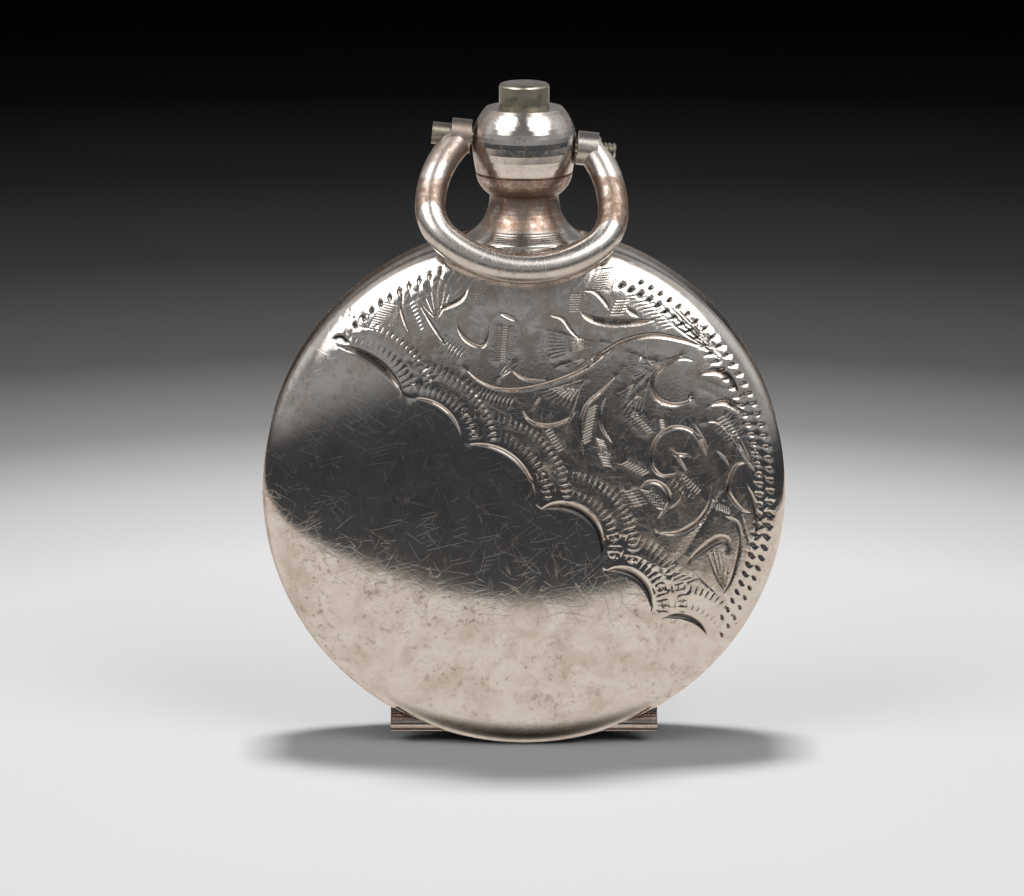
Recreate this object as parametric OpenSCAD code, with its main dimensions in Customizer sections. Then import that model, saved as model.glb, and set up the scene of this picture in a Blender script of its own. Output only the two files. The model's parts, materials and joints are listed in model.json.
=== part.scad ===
// Key-wind hunter fob watch: domed covers front and back, ball pendant with a push piece, screwed bow,
// and a bar movement with a lever escapement.
// +Z runs up through the pendant, +X is to the right, and the engraved front cover faces -Y.
// The origin is on the centre wheel's axis, halfway between the two domes.

/* [Case] */
// Diameter over the covers
case_d = 42; // [41.6:0.1:42.6]
// Thickness over both domes
case_t = 12.4; // [12.3:0.1:13]
// Sheet thickness of the covers
cover_t = 0.6; // [0.5:0.05:0.6]
// How full the shoulder of a dome is: 2 is an ellipse, more is squarer
dome_power = 2.6; // [2.5:0.05:2.9]
// Height of the parting line of each cover from the middle plane
rim_h = 1.9; // [1.9:0.02:1.94]

/* [Hinge] */
// Radius of the hinge knuckles
knuckle_r = 0.75; // [0.7:0.01:0.78]
// Half the length of the hinge joint
hinge_half = 10.8; // [10.2:0.1:11.2]
// Radius of the hinge pins
hinge_pin_r = 0.3; // [0.25:0.01:0.32]

/* [Pendant and bow] */
// Radius of the ball
ball_r = 4.15; // [4.1:0.05:4.25]
// Height of the ball's centre above the watch's centre
ball_z = 28; // [27.9:0.05:28.2]
// Radius of the waist of the neck
neck_r = 2.75; // [2.6:0.05:2.9]
// Radius of the foot of the pendant
foot_r = 4.7; // [4.5:0.05:4.8]
// Radius of the bow's wire
wire_r = 1.2; // [1:0.05:1.25]
// Half the bow's width, to the middle of the wire
bow_a = 7.25; // [7.1:0.05:7.4]
// Tilt of the bow towards the front, in degrees
bow_tilt = 33; // [33:1:60]
// Slope of the bow screw, in degrees
screw_slope = 6; // [0:1:7]
// Slope of the bow itself, in degrees
bow_slope = 3; // [0:1:4]

/* [Movement] */
// Radius of the main plate
plate_r = 16.9; // [16.7:0.1:17]
// Time shown by the hour hand
show_hour = 10; // [0:1:11]
// Time shown by the minute hand
show_minute = 10; // [0:1:59]

/* [Hidden] */
$fn = 48;

// Clearances
slip = 0.03;    // between a pivot and its hole
gap = 0.05;     // between parts that only touch
run = 0.1;      // between parts that pass each other

// Case
case_r = case_d / 2;
band_r = case_r - 0.2;
dome_h = case_t / 2 - rim_h;
cover_rim = 1;               // width of the thick ring along a cover's edge
cover_rim_h = 0.5;
hinge_y = -(case_r - 1.7);   // axis of the cover hinges
ledge_r = 17.6;              // inside of the band
bezel_r = 18.45;
bezel_h = 1.2;               // seat of the bezel
cuvette_r = 18.7;
cuvette_t = 0.4;
cuvette_dome = 3.5;
cuvette_axis = [-18.05, -2.3];
cuvette_knuckle_r = 0.42;
cuvette_half = 4;
notch_r = foot_r + 0.15;
foot_z = 19.05;              // underside of the pendant's foot

// Levels along the watch's axis, front positive
dial_top = 2.2;
dial_t = 0.8;
plate_top = 0.5;
plate_back = -1;
bar_in = -2.8;
bar_out = -3.7;

// Train: [teeth of the wheel, leaves of the pinion it drives, module]
barrel_teeth = 80;
barrel_module = 0.18;
centre_leaves = 10;
centre_teeth = 80;
centre_module = 0.13;
third_leaves = 10;
third_teeth = 75;
third_module = 0.12;
fourth_leaves = 10;
fourth_teeth = 70;
fourth_module = 0.1;
escape_leaves = 7;
escape_teeth = 15;
escape_r = 2.3;
cannon_teeth = 12;
minute_teeth = 36;
cannon_module = 0.125;
minute_leaves = 10;
hour_teeth = 40;
hour_module = 0.12;
ratchet_teeth = 20;
ratchet_r = 3.4;

function gear_distance(n_a, n_b, m) = m * (n_a + n_b) / 2;
function polar(r, a) = [r * cos(a), r * sin(a)];
function bearing(from, to) = atan2(to.y - from.y, to.x - from.x);

// Where two circles about a and b meet, on the right-hand side going from a to b
function meet(a, r_a, b, r_b) =
    let (d = norm(b - a), u = (b - a) / d, k = (r_a * r_a - r_b * r_b + d * d) / (2 * d))
    a + k * u + sqrt(r_a * r_a - k * k) * [u.y, -u.x];

// Places of the arbors, looking from the front
centre_p = [0, 0];
barrel_p = polar(gear_distance(barrel_teeth, centre_leaves, barrel_module), 120);
fourth_p = [0, -8.6];
third_p = meet(fourth_p, gear_distance(third_teeth, fourth_leaves, third_module),
    centre_p, gear_distance(centre_teeth, third_leaves, centre_module));
escape_p = fourth_p + polar(gear_distance(fourth_teeth, escape_leaves, fourth_module), 165);
line_a = 150;                // line of the escapement
pallet_p = escape_p + polar(escape_r / cos(30), line_a);
fork_l = 3.3;
balance_p = pallet_p + polar(fork_l, line_a);
minute_p = polar(gear_distance(cannon_teeth, minute_teeth, cannon_module), 30);
click_p = barrel_p + polar(ratchet_r + 1.9, 210);

// Angle of a tooth of wheel b, so that it meshes with wheel a, whose tooth is at phi
function mesh_phase(phi, a, b, n_a, n_b) =
    let (line = bearing(a, b))
    line + 180 - (phi - line) * n_a / n_b + 180 / n_b;
centre_phase = mesh_phase(0, barrel_p, centre_p, barrel_teeth, centre_leaves);
third_phase = mesh_phase(0, centre_p, third_p, centre_teeth, third_leaves);
fourth_phase = mesh_phase(0, third_p, fourth_p, third_teeth, fourth_leaves);
escape_phase = mesh_phase(0, fourth_p, escape_p, fourth_teeth, escape_leaves);
minute_phase = mesh_phase(0, centre_p, minute_p, cannon_teeth, minute_teeth);
hour_phase = mesh_phase(0, minute_p, centre_p, minute_leaves, hour_teeth);

// Moves from the watch's own axes (x right, y up, z to the front) to the part's frame
module facing() { rotate([90, 0, 0]) children(); }
module at(p) { translate([p.x, p.y, 0]) children(); }
module disc(r, low, high) { translate([0, 0, low]) cylinder(r = r, h = high - low); }
module block(low, high) { translate(low) cube(high - low); }
module ring(r, bore, low, high) {
    difference() {
        disc(r, low, high);
        disc(bore, low - 1, high + 1);
    }
}
module across(r, x_low, x_high, p) {
    translate([x_low, p.x, p.y]) rotate([0, 90, 0]) cylinder(r = r, h = x_high - x_low);
}

// Curve from p to q that bulges to the left by the given height
function curve(p, q, bulge, n) =
    let (u = (q - p) / norm(q - p))
    [for (i = [0:n]) let (t = i / n) p + (q - p) * t + 4 * bulge * t * (1 - t) * [-u.y, u.x]];

// Half section of a dome, from its top to its rim
function dome(r, h, n = 12) =
    [for (i = [0:n]) let (a = 90 * i / n) [r * pow(sin(a), 2 / dome_power), h * cos(a)]];
// Radius of the same dome at the height y
function dome_radius(r, h, y) = r * pow(sqrt(1 - pow(y / h, 2)), 2 / dome_power);
function reverse(list) = [for (i = [len(list) - 1:-1:0]) list[i]];
// Outline closed by its own image across the x axis
function mirrored(half) = concat(half, [for (p = reverse(half)) [p.x, -p.y]]);

// Sheet-metal dome with a ring along its rim, standing on the plane z = 0
module dome_shell(r, h, t, rim, rim_h) {
    inner = [for (p = reverse(dome(r - t, h - t))) if (p.y > rim_h + 0.1) p];
    ledge = [dome_radius(r - t, h - t, rim_h), rim_h];
    rotate_extrude($fn = 96)
        polygon(concat(dome(r, h), [[r - rim, 0], [r - rim, rim_h], ledge], inner));
}

// Hinge: x ranges of the middle and outer knuckles on the right-hand side
band_knuckles = [[-0.205, 0.205], [0.61, 1], [-1, -0.61]];
cover_knuckles = [[0.215, 0.6], [-0.6, -0.215]];

module cover_hinge_bore(r, side) {
    across(r, -hinge_half - 1, hinge_half + 1, [hinge_y, side * rim_h]);
}

// Cover with its half of the hinge, standing on its parting line; the front cover, facing +z
module hinged_cover() {
    difference() {
        union() {
            difference() {
                translate([0, 0, rim_h]) dome_shell(case_r, dome_h, cover_t, cover_rim, cover_rim_h);
                across(knuckle_r + run, -hinge_half - run, hinge_half + run, [hinge_y, rim_h]);
                translate([0, foot_z - run, 0]) rotate([-90, 0, 0]) cylinder(r = notch_r, h = 3);
            }
            for (k = cover_knuckles) {
                across(knuckle_r, k[0] * hinge_half, k[1] * hinge_half, [hinge_y, rim_h]);
                intersection() {
                    block([k[0] * hinge_half, -case_r, rim_h + gap],
                        [k[1] * hinge_half, hinge_y, rim_h + knuckle_r]);
                    disc(case_r - cover_t / 2, 0, case_t);
                }
            }
        }
        cover_hinge_bore(hinge_pin_r + slip, 1);
    }
}

module front_cover() { color("silver") facing() hinged_cover(); }

module back_cover() { color("silver") facing() mirror([0, 0, 1]) hinged_cover(); }

// Inner back cover, with the two key holes: winding and setting
key_hole_r = 1.6;
module cuvette() {
    color("gainsboro") facing() difference() {
        union() {
            difference() {
                translate([0, 0, -rim_h]) mirror([0, 0, 1])
                    dome_shell(cuvette_r, cuvette_dome, cuvette_t, cuvette_t + 0.1, 0.3);
                block([-case_r, -case_r, -case_t], [case_r, cuvette_axis.x + 0.5, 0]);
            }
            for (side = [-1, 1])
                cuvette_knuckle(side * 0.35 - 0.3, side * 0.35 + 0.3, 0, 0.85, cuvette_axis.y - 0.95);
        }
        for (p = [barrel_p, centre_p])
            at(p) disc(key_hole_r, -case_t, 0);
        across(hinge_pin_r + slip, -cuvette_half - 1, cuvette_half + 1, cuvette_axis);
    }
}

// Knuckle of the inner cover's hinge from x = a to b, with a leaf over y_low to y_high that reaches level h
module cuvette_knuckle(a, b, y_low, y_high, h) {
    across(cuvette_knuckle_r, a * cuvette_half, b * cuvette_half, cuvette_axis);
    block([a * cuvette_half, cuvette_axis.x + y_low, min(h, cuvette_axis.y)],
        [b * cuvette_half, cuvette_axis.x + y_high, max(h, cuvette_axis.y)]);
}

// Band between the covers: seats for the movement, the bezel and the inner cover, and its hinge knuckles
groove = [19.4, 20.3];       // inner and outer radius of the groove for the case springs
groove_h = 0.5;              // floor of the groove
band_h = rim_h - gap;
plate_flange_h = 0.15;       // ledge that the main plate's flange sits on
case_screw_angles = [200, 340];
module case_middle() {
    color("darkgray") facing() difference() {
        union() {
            difference() {
                disc(band_r, -band_h, band_h, $fn = 96);
                block([-case_r, -case_r, -case_t], [case_r, hinge_y + 0.4, case_t]);
            }
            for (side = [-1, 1], k = band_knuckles) {
                across(knuckle_r, k[0] * hinge_half, k[1] * hinge_half, [hinge_y, side * rim_h]);
                block([k[0] * hinge_half, hinge_y, side > 0 ? rim_h - knuckle_r : -band_h],
                    [k[1] * hinge_half, hinge_y + 2, side > 0 ? band_h : knuckle_r - rim_h]);
            }
            for (side = [-1, 1])
                cuvette_knuckle(side * 0.85 - 0.15, side * 0.85 + 0.15, -0.45, 0.2, plate_back - rim_h / 3);
        }
        disc(plate_r + run + gap, -case_t, case_t);
        disc(ledge_r + 0.6, -case_t, plate_back - gap);
        disc(ledge_r, plate_flange_h, case_t);
        disc(bezel_r + gap, bezel_h, case_t);
        ring(groove[1], groove[0], groove_h, case_t);
        for (side = [-1, 1]) {
            cover_hinge_bore(hinge_pin_r, side);
            for (k = cover_knuckles)
                across(knuckle_r + run, k[0] * hinge_half - run, k[1] * hinge_half + run,
                    [hinge_y, side * rim_h]);
        }
        across(cuvette_knuckle_r + run, -0.67 * cuvette_half, 0.67 * cuvette_half, cuvette_axis);
        across(hinge_pin_r, -cuvette_half - 1, cuvette_half + 1, cuvette_axis);
        rotate([-90, 0, 0]) cylinder(r = stem_r + slip, h = case_r);
        for (a = case_screw_angles)
            at(polar(plate_r - 0.1, a)) disc(0.5, -1.6, 0);
        for (a = spring_foot)
            at(polar(spring_mid, a)) disc(spring_screw_r, -0.4, case_t);
    }
}

// Bezel: a snap-on ring whose groove holds the crystal
crystal_seat = [2.6, 3];     // levels of the groove
crystal_r = 17.2;
bezel_in = 16.3;
module bezel() {
    color("silver") facing() rotate_extrude($fn = 96)
        polygon([[bezel_in, 2.25], [16.9, 2.25], [16.9, bezel_h], [bezel_r, bezel_h], [bezel_r, 2.2],
            [18.3, 3], [17.5, 3.3], [16.9, 3.3], [16.9, crystal_seat[1]], [crystal_r, crystal_seat[1]],
            [crystal_r, crystal_seat[0]], [bezel_in, crystal_seat[0]]]);
}

// Domed crystal with a thin edge in the bezel's groove
crystal_dome = 2;            // rise of the glass above its seat
crystal_t = 0.7;
crystal_bulge = 0.55;        // how far its section stands outside a straight cone
module crystal() {
    color("lightcyan", 0.4) facing() {
        edge = [crystal_r - 0.4, crystal_seat[1] - gap];
        low_edge = [edge.x, crystal_seat[0] + gap];
        top = curve([0, low_edge.y + crystal_dome], edge, crystal_bulge, 8);
        under = curve([bezel_in - 0.1, low_edge.y], [0, low_edge.y + crystal_dome - crystal_t],
            -crystal_bulge, 8);
        rotate_extrude($fn = 96) polygon(concat(top, [low_edge], under));
    }
}

// Push piece: domed head, slotted stem that straddles the bow screw, thin tip that bears on the lock spring
push_r = 2;
push_top = 4.8;              // top of the push piece above the ball's centre
push_travel = 0.8;
ball_flat = 2.8;             // height of the ball's flat top above its centre
push_well = 1.4;             // floor of the well for the push piece's head
push_low = push_well + push_travel + gap;   // underside of the head
spring_floor = 0.9;          // ledge that the push spring stands on
stem_r = 1.3;
tip_r = 1;
screw_r = 0.6;
neck_top = ball_z - 4.4;     // waist of the neck
cup_z = ball_z - 2.4;        // crease between the ball and its cup
foot_top = 20.6;

// Half section of the pendant from its foot up to the ball's flat top
function pendant_outline() = concat(
    [[0, foot_z], [foot_r, foot_z]],
    curve([foot_r, foot_top - 0.35], [foot_r - 0.25, foot_top], -0.05, 3),
    curve([foot_r - 0.25, foot_top], [neck_r, neck_top], 0.42, 10),
    curve([neck_r, neck_top + 0.25], [3.85, cup_z - 0.1], -0.22, 6),
    [[3.7, cup_z]],
    curve([3.85, cup_z + 0.1], [ball_r, ball_z], -0.05, 4),
    [for (i = [1:8]) let (a = i / 8 * asin(ball_flat / ball_r))
        [ball_r * cos(a), ball_z + ball_r * sin(a)]],
    [[0, ball_z + ball_flat]]);

// The bow screw's own frame: x along the screw, origin at the ball's centre
module on_screw() { translate([0, 0, ball_z]) rotate([0, screw_slope, 0]) children(); }

module pendant() {
    color("silver") difference() {
        rotate_extrude($fn = 72) polygon(pendant_outline());
        translate([0, 0, foot_z - 1]) cylinder(r = stem_r + slip, h = case_r);
        translate([0, 0, ball_z + spring_floor]) cylinder(r = stem_r + 0.4, h = ball_flat);
        translate([0, 0, ball_z + push_well]) cylinder(r = push_r + slip, h = case_r);
        on_screw() rotate([0, 90, 0]) cylinder(r = screw_r, h = 3 * ball_r, center = true);
        facing() disc(band_r, -band_h, band_h, $fn = 96);
    }
}

module push_piece() {
    slot = screw_r + gap + 0.1;
    color("darkkhaki") difference() {
        union() {
            translate([0, 0, ball_z]) rotate_extrude()
                polygon(concat([[0, push_low], [push_r, push_low]],
                    curve([push_r, push_top - 0.3], [push_r - 0.3, push_top - 0.06], -0.06, 3),
                    [[0, push_top]]));
            translate([0, 0, ball_z - 3]) cylinder(r = stem_r, h = 3 + push_well + push_travel + 0.5);
            translate([0, 0, groove[1] + gap]) cylinder(r = tip_r, h = ball_z - groove[1] - 1);
        }
        for (z = [0, push_travel])
            translate([0, 0, ball_z + z]) rotate([0, 90, 0])
                cylinder(r = slot, h = 3 * stem_r, center = true);
        translate([-2 * stem_r, -slot, ball_z]) cube([4 * stem_r, 2 * slot, push_travel]);
    }
}

// Coil spring under the push piece's head; its flat section is the round wire cut level
module push_spring() {
    coil_r = stem_r + 0.22;
    coil_wire = 0.12;
    turns = 2;
    height = push_well + push_travel - spring_floor - coil_wire;
    reach = 360 * coil_wire * turns / height;
    half = [for (i = [-5:5]) let (t = i / 5) [t * reach, coil_wire * sqrt(1 - t * t)]];
    color("steelblue") translate([0, 0, ball_z + spring_floor])
        linear_extrude(height = height, twist = -360 * turns, slices = 20 * turns)
            polygon(concat([for (p = half) polar(coil_r + p.y, p.x)],
                [for (i = [9:-1:1]) polar(coil_r - half[i].y, half[i].x)]));
}

// Bow: two eyes on the screw and a wire ring drawn as an oval, wider than it is high
eye_in = ball_r + 0.1;
eye_out = eye_in + 1.6;
eye_r = 1.35;
bow_drop = 5.75;             // from the screw to the ring's widest place
bow_b = 5.1;                 // from there to the bottom of the ring
shoulder_x = 5.05;           // where the wire meets its eye
corner_r = 3.9;              // radius of the ring's lower corners

// Radius of the arc that leaves the ring's widest place upright and meets the eye
side_r = (pow(bow_a - shoulder_x, 2) + pow(bow_drop, 2)) / (2 * (bow_a - shoulder_x));
side_angle = asin(bow_drop / side_r);
// The flat bottom arc, which touches both corner arcs
corner_x = bow_a - corner_r;
base_rise = (corner_x * corner_x - pow(bow_b - corner_r, 2)) / (2 * (bow_b - corner_r));
base_angle = atan2(base_rise, corner_x);

module wire_arc(centre, r, from, to) {
    translate([centre.x, centre.y, 0]) rotate([0, 0, from])
        rotate_extrude(angle = to - from, $fn = 72) translate([r, 0]) circle(r = wire_r, $fn = 32);
}

// Core that runs through the joint between two arcs
module wire_plug(p, a) {
    translate([p.x, p.y, 0]) rotate([90, 0, a]) cylinder(r = 0.8 * wire_r, h = wire_r / 2, center = true);
}

module bow() {
    color("silver") on_screw() rotate([-bow_tilt, 0, 0]) difference() {
        union() {
            rotate([0, bow_slope - screw_slope, 0]) rotate([90, 0, 0]) translate([0, -bow_drop, 0]) {
                for (side = [0, 1]) mirror([side, 0, 0]) {
                    wire_arc([bow_a - side_r, 0], side_r, 0, side_angle);
                    wire_arc([corner_x, 0], corner_r, -base_angle, 0);
                }
                wire_arc([0, base_rise], base_rise + bow_b, base_angle - 180, -base_angle);
                for (side = [0, 1]) mirror([side, 0, 0]) {
                    wire_plug([corner_x + corner_r, 0], 0);
                    wire_plug([corner_x, 0] + polar(corner_r, -base_angle), -base_angle);
                }
            }
            for (side = [0, 1]) mirror([side, 0, 0])
                translate([eye_in, 0, 0]) rotate([0, 90, 0]) cylinder(r = eye_r, h = eye_out - eye_in);
        }
        cube([2 * eye_in, 4 * wire_r, 4 * wire_r], center = true);
        rotate([0, 90, 0]) cylinder(r = screw_r + slip, h = 4 * eye_out, center = true);
        for (side = [0, 1]) mirror([side, 0, 0])
            translate([eye_out, 0, 0]) rotate([0, 90, 0]) cylinder(r = screw_head_r + gap, h = 2 * wire_r);
    }
}

// Bow screw: smooth head on the left, threaded end on the right
screw_head_r = 0.88;
module bow_screw() {
    head = 1.45;
    thread = 1.4;
    pitch = 0.35;
    thread_r = 0.68;
    color("rosybrown") on_screw() rotate([0, 90, 0]) {
        translate([0, 0, -eye_out - gap - head]) difference() {
            cylinder(r = screw_head_r, h = head);
            translate([-0.12, -1, -1]) cube([0.24, 2, 1.3]);
        }
        translate([0, 0, -eye_out - gap]) cylinder(r = screw_r, h = 2 * (eye_out + gap));
        translate([0, 0, eye_out + gap]) rotate_extrude()
            polygon(concat([[0, 0]],
                [for (i = [0:3]) each [[screw_r - 0.08, i * pitch], [thread_r, (i + 0.5) * pitch]]],
                [[screw_r - 0.08, thread], [0, thread]]));
    }
}

module hinge_pin(half, p) {
    color("tan") facing() across(hinge_pin_r, -half, half, p);
}
module front_hinge_pin() { hinge_pin(hinge_half, [hinge_y, rim_h]); }
module back_hinge_pin() { hinge_pin(hinge_half, [hinge_y, -rim_h]); }
module cuvette_hinge_pin() { hinge_pin(cuvette_half, cuvette_axis); }

// Case springs: strips in the band's groove, each held by one screw
spring_foot = [8, 172];      // angles of the two screws
spring_screw_r = 0.33;       // radius of their holes
spring_mid = (groove[0] + groove[1]) / 2;
spring_top = 1.75;
catch_a = 70;                // place of the catch that holds the front cover shut
hook_h = rim_h + cover_rim_h + gap;
module arc_strip(r_low, r_high, a, b, low, high) {
    translate([0, 0, low]) rotate([0, 0, a]) rotate_extrude(angle = b - a)
        translate([r_low, 0]) square([r_high - r_low, high - low]);
}
module spring_strip(foot, tip) {
    difference() {
        union() {
            arc_strip(19.65, 19.9, min(foot, tip), max(foot, tip), groove_h + run, spring_top);
            arc_strip(19.5, 20.2, foot - 2.5, foot + 2.5, groove_h + gap, spring_top - 0.3);
        }
        at(polar(spring_mid, foot)) disc(spring_screw_r, 0, 3);
        at(polar(spring_mid, foot)) disc(0.45, spring_top - 0.3, 3);
    }
}
module lock_spring() {
    color("steelblue") facing() {
        spring_strip(spring_foot[0], 96);
        arc_strip(19.6, 20.2, 85, 96.5, groove_h + gap, spring_top + gap);
        rotate([0, 0, catch_a - 3]) rotate_extrude(angle = 6)
            polygon([[19.7, 1.2], [19.85, 1.2], [19.85, hook_h], [20.1, hook_h], [20.1, hook_h + 0.08],
                [19.8, hook_h + 0.38], [19.7, hook_h + 0.38]]);
    }
}
module fly_spring() {
    color("steelblue") facing() spring_strip(spring_foot[1], 232);
}
// Slotted screw: its head lies between the levels seat and top, its shaft ends at tip
module screw(head_r, shaft_r, top, seat, tip) {
    difference() {
        union() {
            disc(head_r, seat, top);
            disc(shaft_r, tip, seat);
        }
        block([-2 * head_r, -head_r / 8, top - (top - seat) / 2], [2 * head_r, head_r / 8, top + 1]);
    }
}
module case_spring_screws() {
    color("steelblue") facing() for (a = spring_foot)
        at(polar(spring_mid, a)) screw(0.42, spring_screw_r - slip, spring_top, spring_top - 0.3, -0.35);
}

// Dial of enamel on copper, with a sunk seconds dial and two feet
dial_r = 16.6;
seconds_r = 3.6;
dial_feet = [20, 226];
module dial() {
    color("white") facing() {
        difference() {
            disc(dial_r, dial_top - dial_t, dial_top, $fn = 96);
            disc(1.1, 0, 3);
            at(fourth_p) disc(seconds_r, dial_top - 0.25, 3);
            at(fourth_p) disc(0.3, 0, 3);
        }
        for (a = dial_feet)
            at(polar(14.5, a)) disc(0.4, -0.5, dial_top - dial_t + 0.1);
    }
}

// Spade hand from its boss at the origin to its tip at y = l
module spade(l, boss, bore, spade_at, low, high) {
    translate([0, 0, low]) linear_extrude(high - low) difference() {
        union() {
            circle(r = boss);
            polygon([[-0.18, -2.8], [0.18, -2.8], [0.28, 0], [0.2, spade_at],
                [-0.2, spade_at], [-0.28, 0]]);
            translate([0, spade_at]) polygon(concat(
                curve([0.15, -0.6], [0.95, 0.9], -0.25, 4), curve([0.95, 0.9], [0.13, 2.2], -0.15, 4),
                [[0.06, l - spade_at], [-0.06, l - spade_at]],
                curve([-0.13, 2.2], [-0.95, 0.9], -0.15, 4), curve([-0.95, 0.9], [-0.15, -0.6], -0.25, 4)));
        }
        circle(r = bore);
    }
}
hour_turn = -30 * (show_hour + show_minute / 60);
minute_turn = -6 * show_minute;
pipe_r = 0.85;
cannon_r = 0.55;
arbor_r = 0.3;
module hour_hand() {
    color("midnightblue") facing() rotate([0, 0, hour_turn]) spade(9.2, 1.15, pipe_r, 5, 2.5, 2.68);
}
module minute_hand() {
    color("midnightblue") facing() rotate([0, 0, minute_turn]) spade(12.4, 0.9, cannon_r, 8, 3.1, 3.25);
}
module seconds_hand() {
    color("midnightblue") facing() at(fourth_p) translate([0, 0, 2.25]) linear_extrude(0.12) difference() {
        union() {
            circle(r = 0.35);
            polygon([[-0.09, -1.3], [0.09, -1.3], [0.04, 3.1], [-0.04, 3.1]]);
        }
        circle(r = pivot_r);
    }
}

// Toothed wheels
pivot_r = 0.12;
function teeth(n, m, root, tip) = [for (i = [0:n - 1])
    let (p = 360 / n, a = p * i, r = m * n / 2)
    each [polar(r - 1.2 * m, a - p * root), polar(r + 0.9 * m, a - p * tip),
        polar(r + 0.9 * m, a + p * tip), polar(r - 1.2 * m, a + p * root)]];
module wheel_teeth(n, m, phase, low, high) {
    rotate([0, 0, phase]) translate([0, 0, low]) linear_extrude(high - low) polygon(teeth(n, m, 0.3, 0.12));
}
module pinion_leaves(n, m, phase, low, high) {
    rotate([0, 0, phase]) translate([0, 0, low]) linear_extrude(high - low) polygon(teeth(n, m, 0.27, 0.1));
}

// Wheel crossed out to a rim, a hub and arms
module crossed_wheel(n, m, phase, bore, arms, low, high) {
    rim_r = m * n / 2 - 3.5 * m;
    difference() {
        wheel_teeth(n, m, phase, low, high);
        disc(bore, low - 1, high + 1);
        difference() {
            ring(rim_r, bore + 0.4, low - 1, high + 1);
            for (i = [0:arms - 1])
                rotate([0, 0, i * 360 / arms + 20]) block([0, -0.2, low - 2], [rim_r + 1, 0.2, high + 2]);
        }
    }
}

// Motion work
module hour_wheel() {
    color("gold") facing() difference() {
        union() {
            wheel_teeth(hour_teeth, hour_module, hour_phase, 0.95, 1.15);
            disc(pipe_r, 0.95, 2.75);
        }
        disc(cannon_r + 0.06, 0, 4);
    }
}
module minute_wheel() {
    color("gold") facing() at(minute_p) difference() {
        union() {
            wheel_teeth(minute_teeth, cannon_module, minute_phase, 0.6, 0.8);
            pinion_leaves(minute_leaves, hour_module, 0, 0.8, 1.2);
        }
        disc(0.28, 0, 2);
    }
}
module cannon_pinion() {
    color("silver") facing() difference() {
        union() {
            pinion_leaves(cannon_teeth, cannon_module, 0, 0.56, 0.86);
            disc(cannon_r, 0.86, 3.4);
        }
        disc(arbor_r, 0, 4);
    }
}

// Feet of the bars and cocks
foot_a = [5.4, 9.6];         // barrel bridge, right
foot_b = [-12.4, 4.4];       // barrel bridge, left
foot_c = [8.8, 3.2];         // centre bridge
foot_d = [9.4, -7];          // third bridge
foot_e = [3.9, -13.4];       // fourth bridge
foot_f = [-5.4, -13];        // escape cock
foot_g = [-7.9, -9.9];       // pallet cock
foot_h = [-13.6, 1];         // balance cock
bar_feet = [foot_a, foot_b, foot_c, foot_d, foot_e, foot_f, foot_h];
jewel_r = 0.55;
jewel_t = 0.3;
jewelled = [third_p, fourth_p, escape_p, balance_p];
bar_screw_r = 0.42;
head_r = 0.75;
head_t = 0.3;
pallet_cock_out = -2.2;      // outer face of the pallet cock
pallet_cock_in = -1.85;
drum_r = barrel_module * (barrel_teeth / 2 - 1.2);
drum_front = 0.2;
drum_back = -1.8;

// Straight bar with round ends
module rounded_bar(p, q, r_p, r_q, low, high) {
    d = norm(q - p);
    lean = asin((r_p - r_q) / d);
    side = [sin(lean), cos(lean)];
    other = [side.x, -side.y];
    at(p) rotate([0, 0, bearing(p, q)]) {
        disc(r_p, low, high);
        translate([d, 0, 0]) disc(r_q, low, high);
        translate([0, 0, low]) linear_extrude(high - low)
            polygon([r_p * side, r_p * other, [d, 0] + r_q * other, [d, 0] + r_q * side]);
    }
}

// Foot of a bar, standing on the main plate
module pillar(p, r) { at(p) disc(r, bar_in - 0.1, plate_back); }

// Counterbored screw hole through a foot
module screw_hole(p, out) {
    at(p) disc(bar_screw_r, out - 1, plate_back + 1);
    at(p) disc(head_r + gap, out - 1, out + head_t);
}
module jewel_hole(p, out) { at(p) disc(jewel_r, out - 1, plate_top + 1); }

module main_plate() {
    color("gold") facing() difference() {
        union() {
            disc(plate_r, plate_back, plate_top, $fn = 96);
            disc(plate_r + 0.5, plate_flange_h + gap, plate_top, $fn = 96);
            at(minute_p) disc(0.25, 0, 1.25);
        }
        at(barrel_p) disc(drum_r + run, plate_back - 1, drum_front + run);
        at(barrel_p) disc(0.5 + slip, -2, 2);
        disc(arbor_r + slip, -2, 2);
        for (p = [third_p, escape_p, balance_p, pallet_p, fourth_p])
            at(p) disc(jewel_r, -2, 2);
        for (p = concat(bar_feet, [foot_g]))
            at(p) disc(bar_screw_r, plate_back - 1, plate_back + 0.5);
        for (a = case_screw_angles)
            at(polar(plate_r - 0.1, a)) disc(0.5, -2, 0);
        for (a = dial_feet)
            at(polar(14.5, a)) disc(0.4 + slip, -2, 2);
    }
}

module movement_screws() {
    color("steelblue") facing() for (a = case_screw_angles)
        at(polar(plate_r - 0.1, a)) mirror([0, 0, 1]) screw(1, 0.5, 1.45, 1.05, 0.1);
}

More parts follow.
